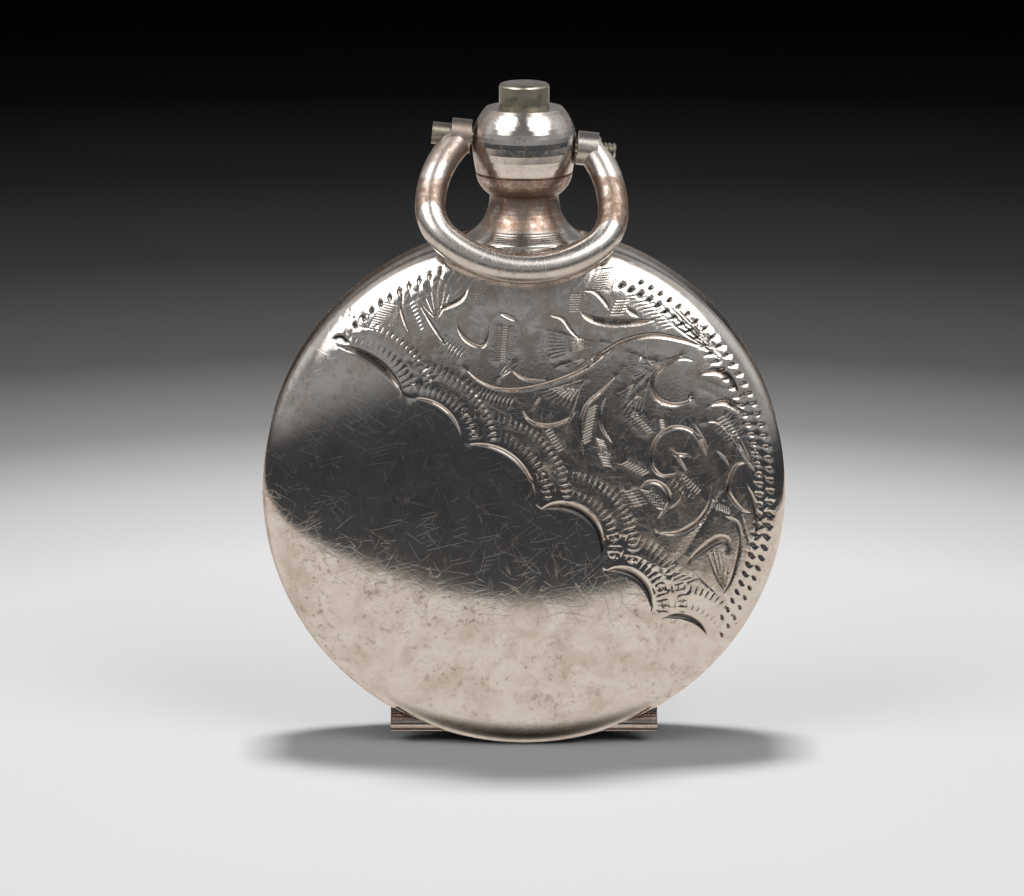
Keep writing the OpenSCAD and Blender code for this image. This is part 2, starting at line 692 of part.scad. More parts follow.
// Going barrel: toothed drum, lid, arbor with its squares, and the mainspring
hub_r = 1.3;
drum_bore = 6.55;
lid_t = 0.25;
module barrel() {
    color("gold") facing() at(barrel_p) difference() {
        union() {
            disc(drum_r, drum_back, drum_front);
            wheel_teeth(barrel_teeth, barrel_module, 0, -1.55, -1.15);
        }
        disc(drum_bore, drum_back - 1, drum_front - 0.3);
        disc(0.5 + slip, -3, 3);
    }
}
module barrel_cover() {
    color("gold") facing() at(barrel_p) ring(drum_bore, 0.7 + slip, drum_back, drum_back + lid_t);
}
ratchet_out = bar_out - 0.4;
square_out = -4.7;
module barrel_arbor() {
    color("silver") facing() at(barrel_p) {
        disc(0.5, drum_front - 0.3 - run, plate_top);
        disc(hub_r, drum_back + lid_t + run, drum_front - 0.3 - run);
        disc(0.7, bar_out - gap, drum_back + lid_t + run);
        translate([0, 0, square_out]) rotate([0, 0, 45])
            cylinder(r = 0.7, h = bar_out - square_out, $fn = 4);
    }
}

// Ribbon wound from radius a to radius b
function spiral(a, b, turns, side) =
    [for (i = [0:24 * turns]) let (t = i / (24 * turns)) polar(a + (b - a) * t + side, 360 * turns * t)];
module ribbon(a, b, turns, t, low, high) {
    translate([0, 0, low]) linear_extrude(high - low)
        polygon(concat(spiral(a, b, turns, -t / 2), reverse(spiral(a, b, turns, t / 2))));
}
module mainspring() {
    color("steelblue") facing() at(barrel_p)
        ribbon(hub_r + 0.12, drum_bore - 0.12, 8, 0.16, drum_back + lid_t + run, drum_front - 0.3 - run);
}

module ratchet_wheel() {
    points = [for (i = [0:ratchet_teeth - 1]) let (a = i * 360 / ratchet_teeth)
        each [polar(ratchet_r, a), polar(ratchet_r - 0.45, a + 2), polar(ratchet_r - 0.45, a + 4)]];
    color("silver") facing() at(barrel_p) difference() {
        translate([0, 0, ratchet_out]) linear_extrude(bar_out - gap - ratchet_out) polygon(points);
        translate([0, 0, square_out]) rotate([0, 0, 45]) cylinder(r = 0.7, h = 2, $fn = 4);
    }
}

// Click, lifted just clear of the ratchet teeth, and its spring
click_reach = 5;             // from the barrel's axis to the click's pivot
click_a = bearing(barrel_p, foot_b);
click_tip = 25;              // angle from the pivot to the tip, round the barrel
module on_click() { at(barrel_p) rotate([0, 0, click_a]) translate([click_reach, 0]) children(); }
module click() {
    tip = polar(ratchet_r + gap, click_tip) - [click_reach, 0];
    color("silver") facing() on_click() difference() {
        translate([0, 0, ratchet_out]) linear_extrude(bar_out - gap - ratchet_out) {
            circle(r = 0.7);
            polygon([[0, -0.7], [0.7, 0], [0.3, 0.6], tip + [0.25, 0.2], tip, [-0.6, -0.3]]);
        }
        disc(0.3 + slip, -6, 0);
    }
}
module click_spring() {
    color("steelblue") facing() on_click() translate([0, 0, ratchet_out]) {
        linear_extrude(bar_out - ratchet_out) {
            polygon(concat(curve([0.1, 2.9], [0.75, 0.55], 0.18, 4),
                curve([0.87, 0.6], [0.25, 3], -0.18, 4)));
            translate([0.2, 3.2]) circle(r = 0.5);
        }
    }
}

module barrel_bridge() {
    color("gold") facing() {
        difference() {
            union() {
                at(barrel_p) disc(3.9, bar_out, bar_in);
                for (foot = [foot_a, foot_b]) {
                    at(foot) disc(1.6, bar_out, bar_in);
                    at(foot) rotate([0, 0, bearing(foot, barrel_p)])
                        block([0, -1.45, bar_out], [norm(barrel_p - foot), 1.45, bar_in]);
                }
                pillar(foot_a, 1.1);
                pillar(foot_b, 1.1);
                on_click() translate([0.2, 3.2]) disc(1, bar_out, bar_in);
                on_click() rounded_bar([0, 0], [0.2, 3.2], 1, 1, bar_out, bar_in);
            }
            at(barrel_p) disc(0.7 + slip, -6, 0);
            screw_hole(foot_a, bar_out);
            screw_hole(foot_b, bar_out);
        }
        on_click() disc(0.3, ratchet_out, bar_out + 0.1);
    }
}

// Bar or cock with one foot, carrying a pivot at p
module cock(foot, p, foot_r, end_r) {
    difference() {
        union() {
            rounded_bar(foot, p, foot_r, end_r, bar_out, bar_in);
            pillar(foot, min(foot_r, 1.2));
        }
        screw_hole(foot, bar_out);
        jewel_hole(p, bar_out);
    }
}
module centre_bridge() {
    color("gold") facing() difference() {
        union() {
            rounded_bar(foot_c, centre_p, 1.5, 1.2, bar_out, bar_in);
            pillar(foot_c, 1.2);
        }
        screw_hole(foot_c, bar_out);
        disc(arbor_r + slip, -6, 0);
    }
}
module third_bridge() { color("gold") facing() cock(foot_d, third_p, 1.4, 1); }
module fourth_bridge() { color("gold") facing() cock(foot_e, fourth_p, 1.4, 1); }
module escape_cock() { color("gold") facing() cock(foot_f, escape_p, 1.4, 1); }

module pallet_cock() {
    color("gold") facing() difference() {
        union() {
            rounded_bar(foot_g, pallet_p, 1, 0.7, pallet_cock_out, pallet_cock_in);
            at(foot_g) disc(1, pallet_cock_in - 0.1, plate_back);
        }
        at(foot_g) disc(bar_screw_r, -3, plate_back + 1);
        jewel_hole(pallet_p, pallet_cock_out);
    }
}

// Going train
module centre_wheel() {
    color("gold") facing() crossed_wheel(centre_teeth, centre_module, 0, 0.5, 4, -2.25, -2.05);
}
module centre_arbor() {
    color("silver") facing() {
        disc(arbor_r, bar_out, 3.5);
        disc(0.5, -2.7, plate_back - gap);
        pinion_leaves(centre_leaves, barrel_module, centre_phase, -1.95, plate_back - gap);
        translate([0, 0, square_out]) cylinder(r = arbor_r, h = bar_out - square_out + 0.01, $fn = 4);
    }
}

// Arbor between the plate and a bar, with a pivot at each end
module arbor(p, r, front, back) {
    at(p) {
        disc(r, bar_in + run, plate_back - run);
        disc(pivot_r, back, front);
    }
}
module third_wheel() {
    color("gold") facing() at(third_p) crossed_wheel(third_teeth, third_module, 0, arbor_r, 4, -1.5, -1.35);
}
module third_pinion() {
    color("silver") facing() {
        arbor(third_p, arbor_r, plate_back + 0.25, bar_out + 0.05);
        at(third_p) pinion_leaves(third_leaves, centre_module, third_phase, -2.5, -1.8);
    }
}
module fourth_wheel() {
    color("gold") facing() at(fourth_p) crossed_wheel(fourth_teeth, fourth_module, 0, arbor_r, 4, -2.6, -2.45);
}
module fourth_pinion() {
    color("silver") facing() {
        arbor(fourth_p, arbor_r, 2.42, bar_out + 0.05);
        at(fourth_p) pinion_leaves(fourth_leaves, third_module, fourth_phase, -1.75, plate_back - run);
    }
}

// Lever escapement, laid out along the line from the escape wheel to the balance
module on_line(p) { at(p) rotate([0, 0, line_a]) children(); }
module escape_wheel() {
    points = [for (i = [0:escape_teeth - 1]) let (a = i * 360 / escape_teeth)
        each [polar(1.75, a), polar(escape_r, a + 5), polar(escape_r - 0.05, a + 8), polar(1.75, a + 12)]];
    color("gold") facing() on_line(escape_p) difference() {
        translate([0, 0, -1.55]) linear_extrude(0.15) polygon(points);
        disc(arbor_r, -3, 0);
        difference() {
            ring(1.45, 0.6, -3, 0);
            for (i = [0:3])
                rotate([0, 0, 90 * i]) block([0, -0.12, -4], [2, 0.12, 1]);
        }
    }
}
module escape_pinion() {
    color("silver") facing() {
        arbor(escape_p, 0.22, plate_back + 0.25, bar_out + 0.05);
        at(escape_p) disc(arbor_r, -1.6, -1.3);
        at(escape_p) pinion_leaves(escape_leaves, fourth_module, escape_phase, -2.7, -2.3);
    }
}
pallet_reach = escape_r * tan(30);    // pivot to stone
fork_t = 0.2;
stone_w = 0.24;

// Frame on the escape wheel's tip circle at one of the two stones, x pointing away from the wheel
module at_stone(side) {
    translate([-escape_r / cos(30), 0, 0]) rotate([0, 0, side * 30]) translate([escape_r, 0, 0]) children();
}
module stone(side, low, high) {
    at_stone(side) block([gap, -stone_w / 2, low], [gap + 0.5, stone_w / 2, high]);
}
module pallet_fork() {
    slot = 0.13;
    arm = [[-0.15, -pallet_reach], [0.2, -0.25], [0.2, 0.25], [0.65, 0.25], [0.65, -0.25],
        [0.3, -pallet_reach]];
    half_lever = [[2.85, 0.36], [2.4, 0.42], [2.3, 0.12], [0, 0.2]];
    color("gold") facing() on_line(pallet_p) translate([0, 0, -1.6]) difference() {
        union() {
            disc(0.45, 0, fork_t);
            linear_extrude(fork_t) polygon(mirrored(half_lever));
            for (side = [-1, 1])
                at_stone(side) linear_extrude(fork_t) polygon([for (p = arm) [p.x, side * p.y]]);
        }
        disc(0.2, -1, 1);
        block([2.5, -slot, -1], [4, slot, 1]);
        for (side = [-1, 1])
            stone(side, -1, 1);
    }
}
module pallet_stones() {
    color("crimson") facing() on_line(pallet_p) translate([0, 0, -1.6])
        for (side = [-1, 1])
            stone(side, -0.02, fork_t + 0.02);
}
module pallet_arbor() {
    color("silver") facing() at(pallet_p) {
        disc(0.2, pallet_cock_in + run, plate_back - run);
        disc(0.1, pallet_cock_out, plate_back + 0.25);
    }
}

// Balance
balance_rim = 4.55;
module balance_wheel() {
    color("gold") facing() on_line(balance_p) {
        difference() {
            disc(balance_rim, -2.75, -2.35);
            disc(0.3, -4, 0);
            difference() {
                ring(balance_rim - 0.45, 0.75, -4, 0);
                for (i = [0:2])
                    rotate([0, 0, 120 * i]) block([0, -0.25, -5], [balance_rim, 0.25, 1]);
            }
        }
        for (i = [0:11])
            rotate([0, 0, 30 * i]) across(0.15, balance_rim - 0.1, balance_rim + 0.25, [0, -2.55]);
    }
}
cock_in = -3.1;              // underside of the balance cock
module balance_staff() {
    color("silver") facing() at(balance_p) {
        disc(0.3, cock_in + run, -1.75);
        disc(0.15, -1.8, plate_back - run);
        disc(0.08, bar_out + 0.05, plate_back + 0.25);
        ring(0.55, 0.3, -3, -2.82);
    }
}
pin_reach = 2.68 - fork_l;   // place of the impulse pin on the line, from the balance's axis
pin_r = 0.09;
module roller() {
    color("silver") facing() on_line(balance_p) difference() {
        disc(0.85, -1.98, -1.78);
        disc(0.3, -3, 0);
        translate([pin_reach, 0]) disc(pin_r, -3, 0);
    }
}
module impulse_pin() {
    color("crimson") facing() on_line(balance_p) translate([pin_reach, 0]) disc(pin_r, -1.98, -1.35);
}
hairspring_r = 2.6;
module hairspring() {
    color("steelblue") facing() at(balance_p) rotate([0, 0, stud_a])
        ribbon(0.6, hairspring_r, 7, 0.05, -2.97, -2.85);
}
stud_a = bearing(balance_p, foot_h);
module hairspring_stud() {
    color("steelblue") facing() at(balance_p) rotate([0, 0, stud_a])
        block([hairspring_r + gap, -0.25, cock_in], [hairspring_r + 0.5, 0.25, -2.8]);
}
cap_r = 0.8;
module balance_cock() {
    color("gold") facing() difference() {
        union() {
            rounded_bar(foot_h, balance_p, 1.3, 1.5, bar_out, cock_in);
            at(foot_h) disc(1.2, cock_in - 0.1, plate_back);
            at(balance_p) disc(cap_r, bar_out - 0.3, bar_out + 0.1);
        }
        screw_hole(foot_h, bar_out);
        jewel_hole(balance_p, bar_out);
    }
}
module regulator() {
    color("silver") facing() at(balance_p) rotate([0, 0, stud_a + 180]) {
        difference() {
            union() {
                disc(cap_r + 0.5, bar_out - 0.25, bar_out - gap);
                translate([0, 0, bar_out - 0.25]) linear_extrude(0.2)
                    polygon([[0, -0.35], [4.2, -0.08], [4.2, 0.08], [0, 0.35]]);
            }
            disc(cap_r + slip, -6, 0);
        }
        translate([hairspring_r + 0.02, 0, 0]) disc(0.1, bar_out - 0.1, -2.85);
    }
}

// Jewels: one in the main plate and one in the bar for each pivot
module jewel(bore, low) { ring(jewel_r, bore, low, low + jewel_t); }
module jewels() {
    color("crimson") facing() {
        for (p = jewelled) {
            at(p) jewel(pivot_r + slip, plate_back);
            at(p) jewel(pivot_r + slip, bar_out);
        }
        at(pallet_p) jewel(pivot_r, plate_back);
        at(pallet_p) ring(jewel_r, pivot_r, pallet_cock_out, pallet_cock_in);
    }
}
module bridge_screws() {
    color("steelblue") facing() {
        for (p = bar_feet)
            at(p) mirror([0, 0, 1]) screw(head_r, bar_screw_r, -bar_out, -bar_out - head_t, 0.6);
        at(foot_g) mirror([0, 0, 1])
            screw(0.65, bar_screw_r, -pallet_cock_out + 0.08, -pallet_cock_out, 0.6);
    }
}

case_middle();
front_cover();
back_cover();
cuvette();
bezel();
crystal();
pendant();
push_piece();
push_spring();
bow();
bow_screw();
front_hinge_pin();
back_hinge_pin();
cuvette_hinge_pin();
lock_spring();
fly_spring();
case_spring_screws();
dial();
hour_hand();
minute_hand();
seconds_hand();
hour_wheel();
minute_wheel();
cannon_pinion();
main_plate();
movement_screws();
barrel();
barrel_cover();
barrel_arbor();
mainspring();
ratchet_wheel();
click();
click_spring();
barrel_bridge();
centre_wheel();
centre_arbor();
centre_bridge();
third_wheel();
third_pinion();
third_bridge();
fourth_wheel();
fourth_pinion();
fourth_bridge();
escape_wheel();
escape_pinion();
escape_cock();
pallet_fork();
pallet_stones();
pallet_arbor();
pallet_cock();
balance_wheel();
balance_staff();
roller();
impulse_pin();
hairspring();
hairspring_stud();
balance_cock();
regulator();
jewels();
bridge_screws();
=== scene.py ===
"""Looks of a key-wound fob watch in an engraved hunter case.

The frame is the CAD's: Z up through the pendant, X to the right, the front cover facing -Y, lengths in
metres.
Numbers that describe the watch are in millimetres and go through MM.
"""
import json
import math

import bpy
from mathutils import Matrix, Vector
from mathutils.geometry import delaunay_2d_cdt

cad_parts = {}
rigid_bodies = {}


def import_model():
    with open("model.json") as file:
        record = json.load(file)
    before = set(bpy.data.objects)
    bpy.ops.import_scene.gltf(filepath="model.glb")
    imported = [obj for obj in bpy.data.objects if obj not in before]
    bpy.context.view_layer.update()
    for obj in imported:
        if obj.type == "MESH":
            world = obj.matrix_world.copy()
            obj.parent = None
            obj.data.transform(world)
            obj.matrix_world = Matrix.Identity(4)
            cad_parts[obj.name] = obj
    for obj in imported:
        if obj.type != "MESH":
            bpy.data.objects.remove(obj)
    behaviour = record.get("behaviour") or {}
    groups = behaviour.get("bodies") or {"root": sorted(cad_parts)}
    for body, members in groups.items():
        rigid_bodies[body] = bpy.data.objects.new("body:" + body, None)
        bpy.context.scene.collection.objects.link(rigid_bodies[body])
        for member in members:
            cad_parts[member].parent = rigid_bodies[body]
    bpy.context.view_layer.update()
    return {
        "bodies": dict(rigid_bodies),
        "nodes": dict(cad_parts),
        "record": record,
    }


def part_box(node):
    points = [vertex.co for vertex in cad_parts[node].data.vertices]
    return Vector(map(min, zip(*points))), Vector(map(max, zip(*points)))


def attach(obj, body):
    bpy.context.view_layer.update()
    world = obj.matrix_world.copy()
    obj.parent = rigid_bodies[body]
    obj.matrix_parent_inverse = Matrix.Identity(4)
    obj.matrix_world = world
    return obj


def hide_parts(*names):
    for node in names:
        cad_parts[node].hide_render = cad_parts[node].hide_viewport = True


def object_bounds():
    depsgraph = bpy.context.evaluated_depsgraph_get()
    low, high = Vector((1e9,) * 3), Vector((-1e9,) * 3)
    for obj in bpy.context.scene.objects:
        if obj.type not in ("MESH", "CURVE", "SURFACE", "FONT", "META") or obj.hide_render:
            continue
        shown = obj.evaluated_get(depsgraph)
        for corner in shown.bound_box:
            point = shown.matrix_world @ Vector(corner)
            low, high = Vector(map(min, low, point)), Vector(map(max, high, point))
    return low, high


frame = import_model()
NODES = frame["nodes"]
MM = 0.001


def span(node):
    """Lowest and highest corner of a CAD node, in millimetres."""
    low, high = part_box(node)
    return Vector(low) / MM, Vector(high) / MM


COVER_LOW, COVER_HIGH = span("front_cover")
COVER_R = (COVER_HIGH.x - COVER_LOW.x) / 2
RIM_H = 1.9                              # parting line of a cover, from the middle plane
DOME_H = -COVER_LOW.y - RIM_H
DOME_POWER = 2.6
SHEET = 0.6
RIM_W, RIM_T = 1.0, 0.5                  # stiffening ring inside a cover's rim
KNUCKLE_R = 0.75
HINGE_Z = -19.3
HINGE_HALF = 10.8


# ---------------------------------------------------------------- shader nodes

def add(tree, kind, inputs=None, **settings):
    """A shader node. An input that is a socket is linked to it, and any other is its value."""
    made = tree.nodes.new("ShaderNode" + kind)
    for name, value in settings.items():
        setattr(made, name, value)
    for name, value in (inputs or {}).items():
        socket = made.inputs[name]
        if isinstance(value, bpy.types.NodeSocket):
            tree.links.new(value, socket)
        else:
            socket.default_value = value
    return made


def calc(tree, operation, a, b=0.0, c=0.0):
    return add(tree, "Math", {0: a, 1: b, 2: c}, operation=operation).outputs[0]


def fade(tree, value, start, end, low=0.0, high=1.0):
    """Smooth step of value between start and end."""
    inputs = {"Value": value, "From Min": start, "From Max": end, "To Min": low, "To Max": high}
    return add(tree, "MapRange", inputs, interpolation_type="SMOOTHSTEP").outputs["Result"]


def ramp(tree, factor, stops, mode="LINEAR"):
    """Colour ramp through (position, grey or colour) stops."""
    made = add(tree, "ValToRGB", {"Fac": factor})
    band = made.color_ramp
    band.interpolation = mode
    for i, (at, colour) in enumerate(stops):
        point = band.elements[i] if i < 2 else band.elements.new(at)
        point.position = at
        rgb = colour if isinstance(colour, tuple) else (colour,) * 3
        point.color = (*rgb, 1)
    return made.outputs["Color"]


def blend_colours(tree, factor, a, b):
    made = add(tree, "Mix", {"Factor": factor}, data_type="RGBA")
    for socket, value in ((made.inputs[6], a), (made.inputs[7], b)):
        if isinstance(value, bpy.types.NodeSocket):
            tree.links.new(value, socket)
        else:
            socket.default_value = (*value, 1)
    return made.outputs[2]


def noise(tree, place, size, detail=2.0, rough=0.5, distortion=0.0):
    """Noise whose features are about size millimetres across."""
    inputs = {"Vector": place, "Scale": 1 / (size * MM), "Detail": detail, "Roughness": rough,
              "Distortion": distortion}
    return add(tree, "TexNoise", inputs).outputs["Fac"]


def scratches(tree, place, angle, length, width, share):
    """Mask of hairlines in one direction of the face: level lines of a noise that is stretched along it."""
    turn = math.radians(angle)
    along = add(tree, "VectorMath", {0: place, 1: (math.cos(turn), 0.3, math.sin(turn))},
                operation="DOT_PRODUCT").outputs["Value"]
    across = add(tree, "VectorMath", {0: place, 1: (-math.sin(turn), 0.3, math.cos(turn))},
                 operation="DOT_PRODUCT").outputs["Value"]
    spot = add(tree, "CombineXYZ", {0: calc(tree, "DIVIDE", along, length * MM),
                                    1: calc(tree, "DIVIDE", across, width * MM), 2: angle})
    lines = add(tree, "TexNoise", {"Vector": spot.outputs[0], "Scale": 1, "Detail": 0}).outputs["Fac"]
    near = calc(tree, "ABSOLUTE", calc(tree, "SUBTRACT", lines, 0.5))
    where = add(tree, "CombineXYZ", {0: calc(tree, "DIVIDE", along, 2.2 * MM),
                                     1: calc(tree, "DIVIDE", across, 0.9 * MM), 2: -angle})
    broken = add(tree, "TexNoise", {"Vector": where.outputs[0], "Scale": 1, "Detail": 1}).outputs["Fac"]
    along = fade(tree, broken, 0.54 - share, 0.70 - share)
    return calc(tree, "MULTIPLY", fade(tree, near, 0.012, 0.003), along)


def new_material(name):
    made = bpy.data.materials.new(name)
    made.use_nodes = True
    made.node_tree.nodes.clear()
    return made, made.node_tree


def finish_material(made, tree, **inputs):
    """Closes a material with a principled shader that has these inputs, spaces written as underscores."""
    named = {name.replace("_", " "): value for name, value in inputs.items()}
    shader = add(tree, "BsdfPrincipled", named)
    out = add(tree, "OutputMaterial")
    tree.links.new(shader.outputs[0], out.inputs["Surface"])
    return made


def heights(tree, layers):
    """Bump from (height socket, depth in millimetres) layers."""
    normal = None
    for height, depth in layers:
        inputs = {"Height": height, "Distance": depth * MM, "Strength": 1.0}
        if normal:
            inputs["Normal"] = normal
        normal = add(tree, "Bump", inputs).outputs["Normal"]
    return normal


# ---------------------------------------------------------------- materials

def length_along(tree, place, axes):
    """Length of a place's components along the axes that are 1."""
    kept = add(tree, "VectorMath", {0: place, 1: axes}, operation="MULTIPLY").outputs[0]
    return add(tree, "VectorMath", {0: kept}, operation="LENGTH").outputs["Value"]


def dark_places_and_neck_shade(tree, place):
    """Mask of darker brown places: painted shade on the neck under the ball, and darker marks at the hinge
    and along the edge of the case, stronger on the left.
    """
    parts = add(tree, "SeparateXYZ", {0: place})
    depth = calc(tree, "ABSOLUTE", parts.outputs["Y"])
    height = parts.outputs["Z"]
    radius = length_along(tree, place, (1, 0, 1))
    on_band = fade(tree, depth, 2.9 * MM, 2.3 * MM)
    edge = calc(tree, "MULTIPLY", on_band, fade(tree, radius, 20.3 * MM, 20.8 * MM))
    edge = calc(tree, "MULTIPLY", edge, fade(tree, parts.outputs["X"], 8 * MM, -4 * MM, 0.1, 0.7))
    at_foot = fade(tree, height, -18.2 * MM, -18.9 * MM)
    hinge = calc(tree, "MULTIPLY", fade(tree, depth, 2.75 * MM, 2.5 * MM), at_foot)
    # the neck between the foot and the ball: painted shade
    above_foot = fade(tree, height, 20.9 * MM, 21.6 * MM)
    neck = calc(tree, "MULTIPLY", fade(tree, height, 25.9 * MM, 25.5 * MM), above_foot)
    on_neck = calc(tree, "MULTIPLY", neck, fade(tree, depth, 4.6 * MM, 4.4 * MM))
    return calc(tree, "MAXIMUM", calc(tree, "MAXIMUM", edge, hinge), on_neck)


BORDER_NORMAL = (0.63, 0, 0.776)         # across the shell border, towards the engraved side


def engraved_ground(tree, place):
    """Mask of the engraved part of the front cover: above the shell border and inside the punched rows."""
    above = add(tree, "VectorMath", {0: place, 1: BORDER_NORMAL}, operation="DOT_PRODUCT").outputs["Value"]
    radius = length_along(tree, place, (1, 0, 1))
    inside = fade(tree, radius, 18.8 * MM, 18.2 * MM)
    return calc(tree, "MULTIPLY", fade(tree, above, 2.2 * MM, 3.4 * MM), inside)


def worn_silver(name, engraved=False, turned=False, warmth=0.0, polish=(0.05, 0.12), filmed=0.5):
    """Silver between two roughnesses, with dents, hairlines, brown tarnish in specks, dirt in the cuts,
    painted shade on the neck and darker brown at the hinge and the case's edge.
    """
    made, tree = new_material(name)
    place = add(tree, "TexCoord").outputs["Object"]
    patches = noise(tree, place, 9.0, 4, 0.6)
    specks = noise(tree, place, 0.55, 5, 0.7)
    cloud = noise(tree, place, 2.4, 6, 0.65, 0.6)
    tarnish = calc(tree, "MULTIPLY", fade(tree, specks, 0.52, 0.68), fade(tree, patches, 0.35, 0.62))
    silver = blend_colours(tree, warmth, (0.76, 0.715, 0.67), (0.60, 0.52, 0.43))
    film = blend_colours(tree, fade(tree, cloud, 0.35, 0.72, 0.0, filmed), silver, (0.45, 0.35, 0.28))
    colour = blend_colours(tree, calc(tree, "MULTIPLY", tarnish, 0.55), film, (0.20, 0.13, 0.095))
    # painted shade on the neck and darker brown at the hinge and the case's edge, broken up by the specks
    stain_and_shade = calc(tree, "MULTIPLY", dark_places_and_neck_shade(tree, place), fade(tree, specks, 0.25, 0.55, 0.35, 1.0))
    colour = blend_colours(tree, calc(tree, "MULTIPLY", stain_and_shade, 0.8), colour, (0.22, 0.12, 0.07))
    lines = None
    for turn in range(7):
        mask = scratches(tree, place, 13 + 51.4 * turn, 6 + turn % 3, 0.65 + 0.12 * (turn % 4), 0.08)
        lines = mask if lines is None else calc(tree, "MAXIMUM", lines, mask)
    rough = fade(tree, cloud, 0.25, 0.8, *polish)
    rough = calc(tree, "MULTIPLY_ADD", tarnish, 0.14, rough)
    rough = calc(tree, "MULTIPLY_ADD", stain_and_shade, 0.2, rough)
    rough = calc(tree, "MULTIPLY_ADD", lines, 0.12, rough)
    layers = [(noise(tree, place, 7.0, 1), 0.018), (noise(tree, place, 0.5, 4, 0.7), 0.003), (lines, -0.001)]
    if engraved:
        cut = add(tree, "Attribute", attribute_name="cut").outputs["Fac"]
        dirt = calc(tree, "MULTIPLY", fade(tree, cut, 0.15, 0.7), 0.85)
        colour = blend_colours(tree, dirt, colour, (0.09, 0.065, 0.05))
        rough = calc(tree, "MULTIPLY_ADD", cut, 0.1, rough)
        ground = engraved_ground(tree, place)
        mottled = fade(tree, noise(tree, place, 1.5, 5, 0.65, 0.8), 0.40, 0.62)
        dulled = calc(tree, "MULTIPLY", calc(tree, "MULTIPLY", ground, mottled), 0.55)
        colour = blend_colours(tree, dulled, colour, (0.36, 0.29, 0.24))
        rough = calc(tree, "MULTIPLY_ADD", calc(tree, "MULTIPLY_ADD", mottled, 0.12, 0.05), ground, rough)
        layers.append((calc(tree, "MULTIPLY", ground, noise(tree, place, 0.22, 2, 0.6)), 0.010))
    if turned:
        position = add(tree, "NewGeometry").outputs["Position"]
        radius = length_along(tree, position, (1, 1, 0))
        rings = calc(tree, "SINE", calc(tree, "MULTIPLY", radius, 2 * math.pi / (0.17 * MM)))
        level = add(tree, "SeparateXYZ", {0: position}).outputs["Z"]
        on_foot = fade(tree, level, 21.6 * MM, 20.9 * MM)
        layers.append((calc(tree, "MULTIPLY", rings, on_foot), 0.006))
    return finish_material(made, tree, Base_Color=colour, Metallic=1.0, Roughness=rough,
                           Normal=heights(tree, layers))


def plain_metal(name, colour, rough, grain=0.3, depth=0.002, stain=(0.1, 0.08, 0.06), stain_and_shade=0.25):
    """A metal with a fine grain and faint stains."""
    made, tree = new_material(name)
    place = add(tree, "TexCoord").outputs["Object"]
    patches = noise(tree, place, 1.6, 5, 0.6)
    tint = blend_colours(tree, fade(tree, patches, 0.45, 0.8, 0.0, stain_and_shade), colour, stain)
    level = fade(tree, noise(tree, place, 0.8, 3), 0.2, 0.8, rough * 0.75, rough * 1.3)
    return finish_material(made, tree, Base_Color=tint, Metallic=1.0, Roughness=level,
                           Normal=heights(tree, [(noise(tree, place, grain, 3, 0.6), depth)]))


def enamel():
    """Fired white enamel, slightly yellowed, with a soft gloss."""
    made, tree = new_material("enamel")
    place = add(tree, "TexCoord").outputs["Object"]
    tint = blend_colours(tree, noise(tree, place, 5, 4), (0.82, 0.79, 0.71), (0.74, 0.70, 0.60))
    smear = fade(tree, noise(tree, place, 2), 0.3, 0.7, 0.12, 0.2)
    return finish_material(made, tree, Base_Color=tint, Roughness=smear,
                           Coat_Weight=0.5, Normal=heights(tree, [(noise(tree, place, 3, 2), 0.008)]))


def black_paint():
    made, tree = new_material("dial_paint")
    place = add(tree, "TexCoord").outputs["Object"]
    tint = blend_colours(tree, noise(tree, place, 0.4, 3), (0.012, 0.011, 0.012), (0.035, 0.03, 0.028))
    return finish_material(made, tree, Base_Color=tint, Roughness=0.4)


def clear(name, colour, rough, ior):
    """Glass or ruby."""
    made, tree = new_material(name)
    place = add(tree, "TexCoord").outputs["Object"]
    smear = fade(tree, noise(tree, place, 2.5, 4), 0.45, 0.8, rough, rough + 0.06)
    return finish_material(made, tree, Base_Color=(*colour, 1), Roughness=smear, IOR=ior,
                           Transmission_Weight=1.0)


MATERIALS = {
    "worn_silver": worn_silver("worn_silver"),
    "nickel": plain_metal("nickel", (0.50, 0.46, 0.36), 0.34, depth=0.006, stain_and_shade=0.6),
    "steel": plain_metal("steel", (0.52, 0.53, 0.55), 0.26),
    "blued_steel": plain_metal("blued_steel", (0.05, 0.07, 0.16), 0.22, stain=(0.10, 0.04, 0.16),
                               stain_and_shade=0.5),
    "gilt_brass": plain_metal("gilt_brass", (0.86, 0.60, 0.26), 0.40, grain=0.09, depth=0.005),
    "brass": plain_metal("brass", (0.72, 0.52, 0.24), 0.26),
    "enamel": enamel(),
    "glass": clear("glass", (0.97, 0.985, 0.98), 0.02, 1.5),
    "ruby": clear("ruby", (0.75, 0.05, 0.12), 0.03, 1.76),
}
ENGRAVED = worn_silver("engraved_silver", engraved=True)
TURNED = worn_silver("turned_silver", turned=True, warmth=0.1, polish=(0.10, 0.22), filmed=0.3)
BOW_SILVER = worn_silver("bow_silver", warmth=0.1, polish=(0.22, 0.32), filmed=0.25)
PAINT = black_paint()


def paint_cad():
    """Gives every CAD node the material of its slot, and the pendant and the bow silvers of their own."""
    for part in frame["record"]["subparts"]:
        shown = NODES[part["node"]]
        material = MATERIALS[part["material_slot"]]
        if not shown.data.materials:
            shown.data.materials.append(material)
        for held in shown.material_slots:
            held.material = material
    for node, material in (("pendant", TURNED), ("bow", BOW_SILVER)):
        for held in NODES[node].material_slots:
            held.material = material


paint_cad()

# ------------------------------------------------------ engraving, in millimetres on the front cover

STEP = 0.17                              # between points along a cut
STEEPNESS = 0.5                          # of a cut's sides
DEEPEST = 0.10
CUTS = []                                # (points, half width at each point)


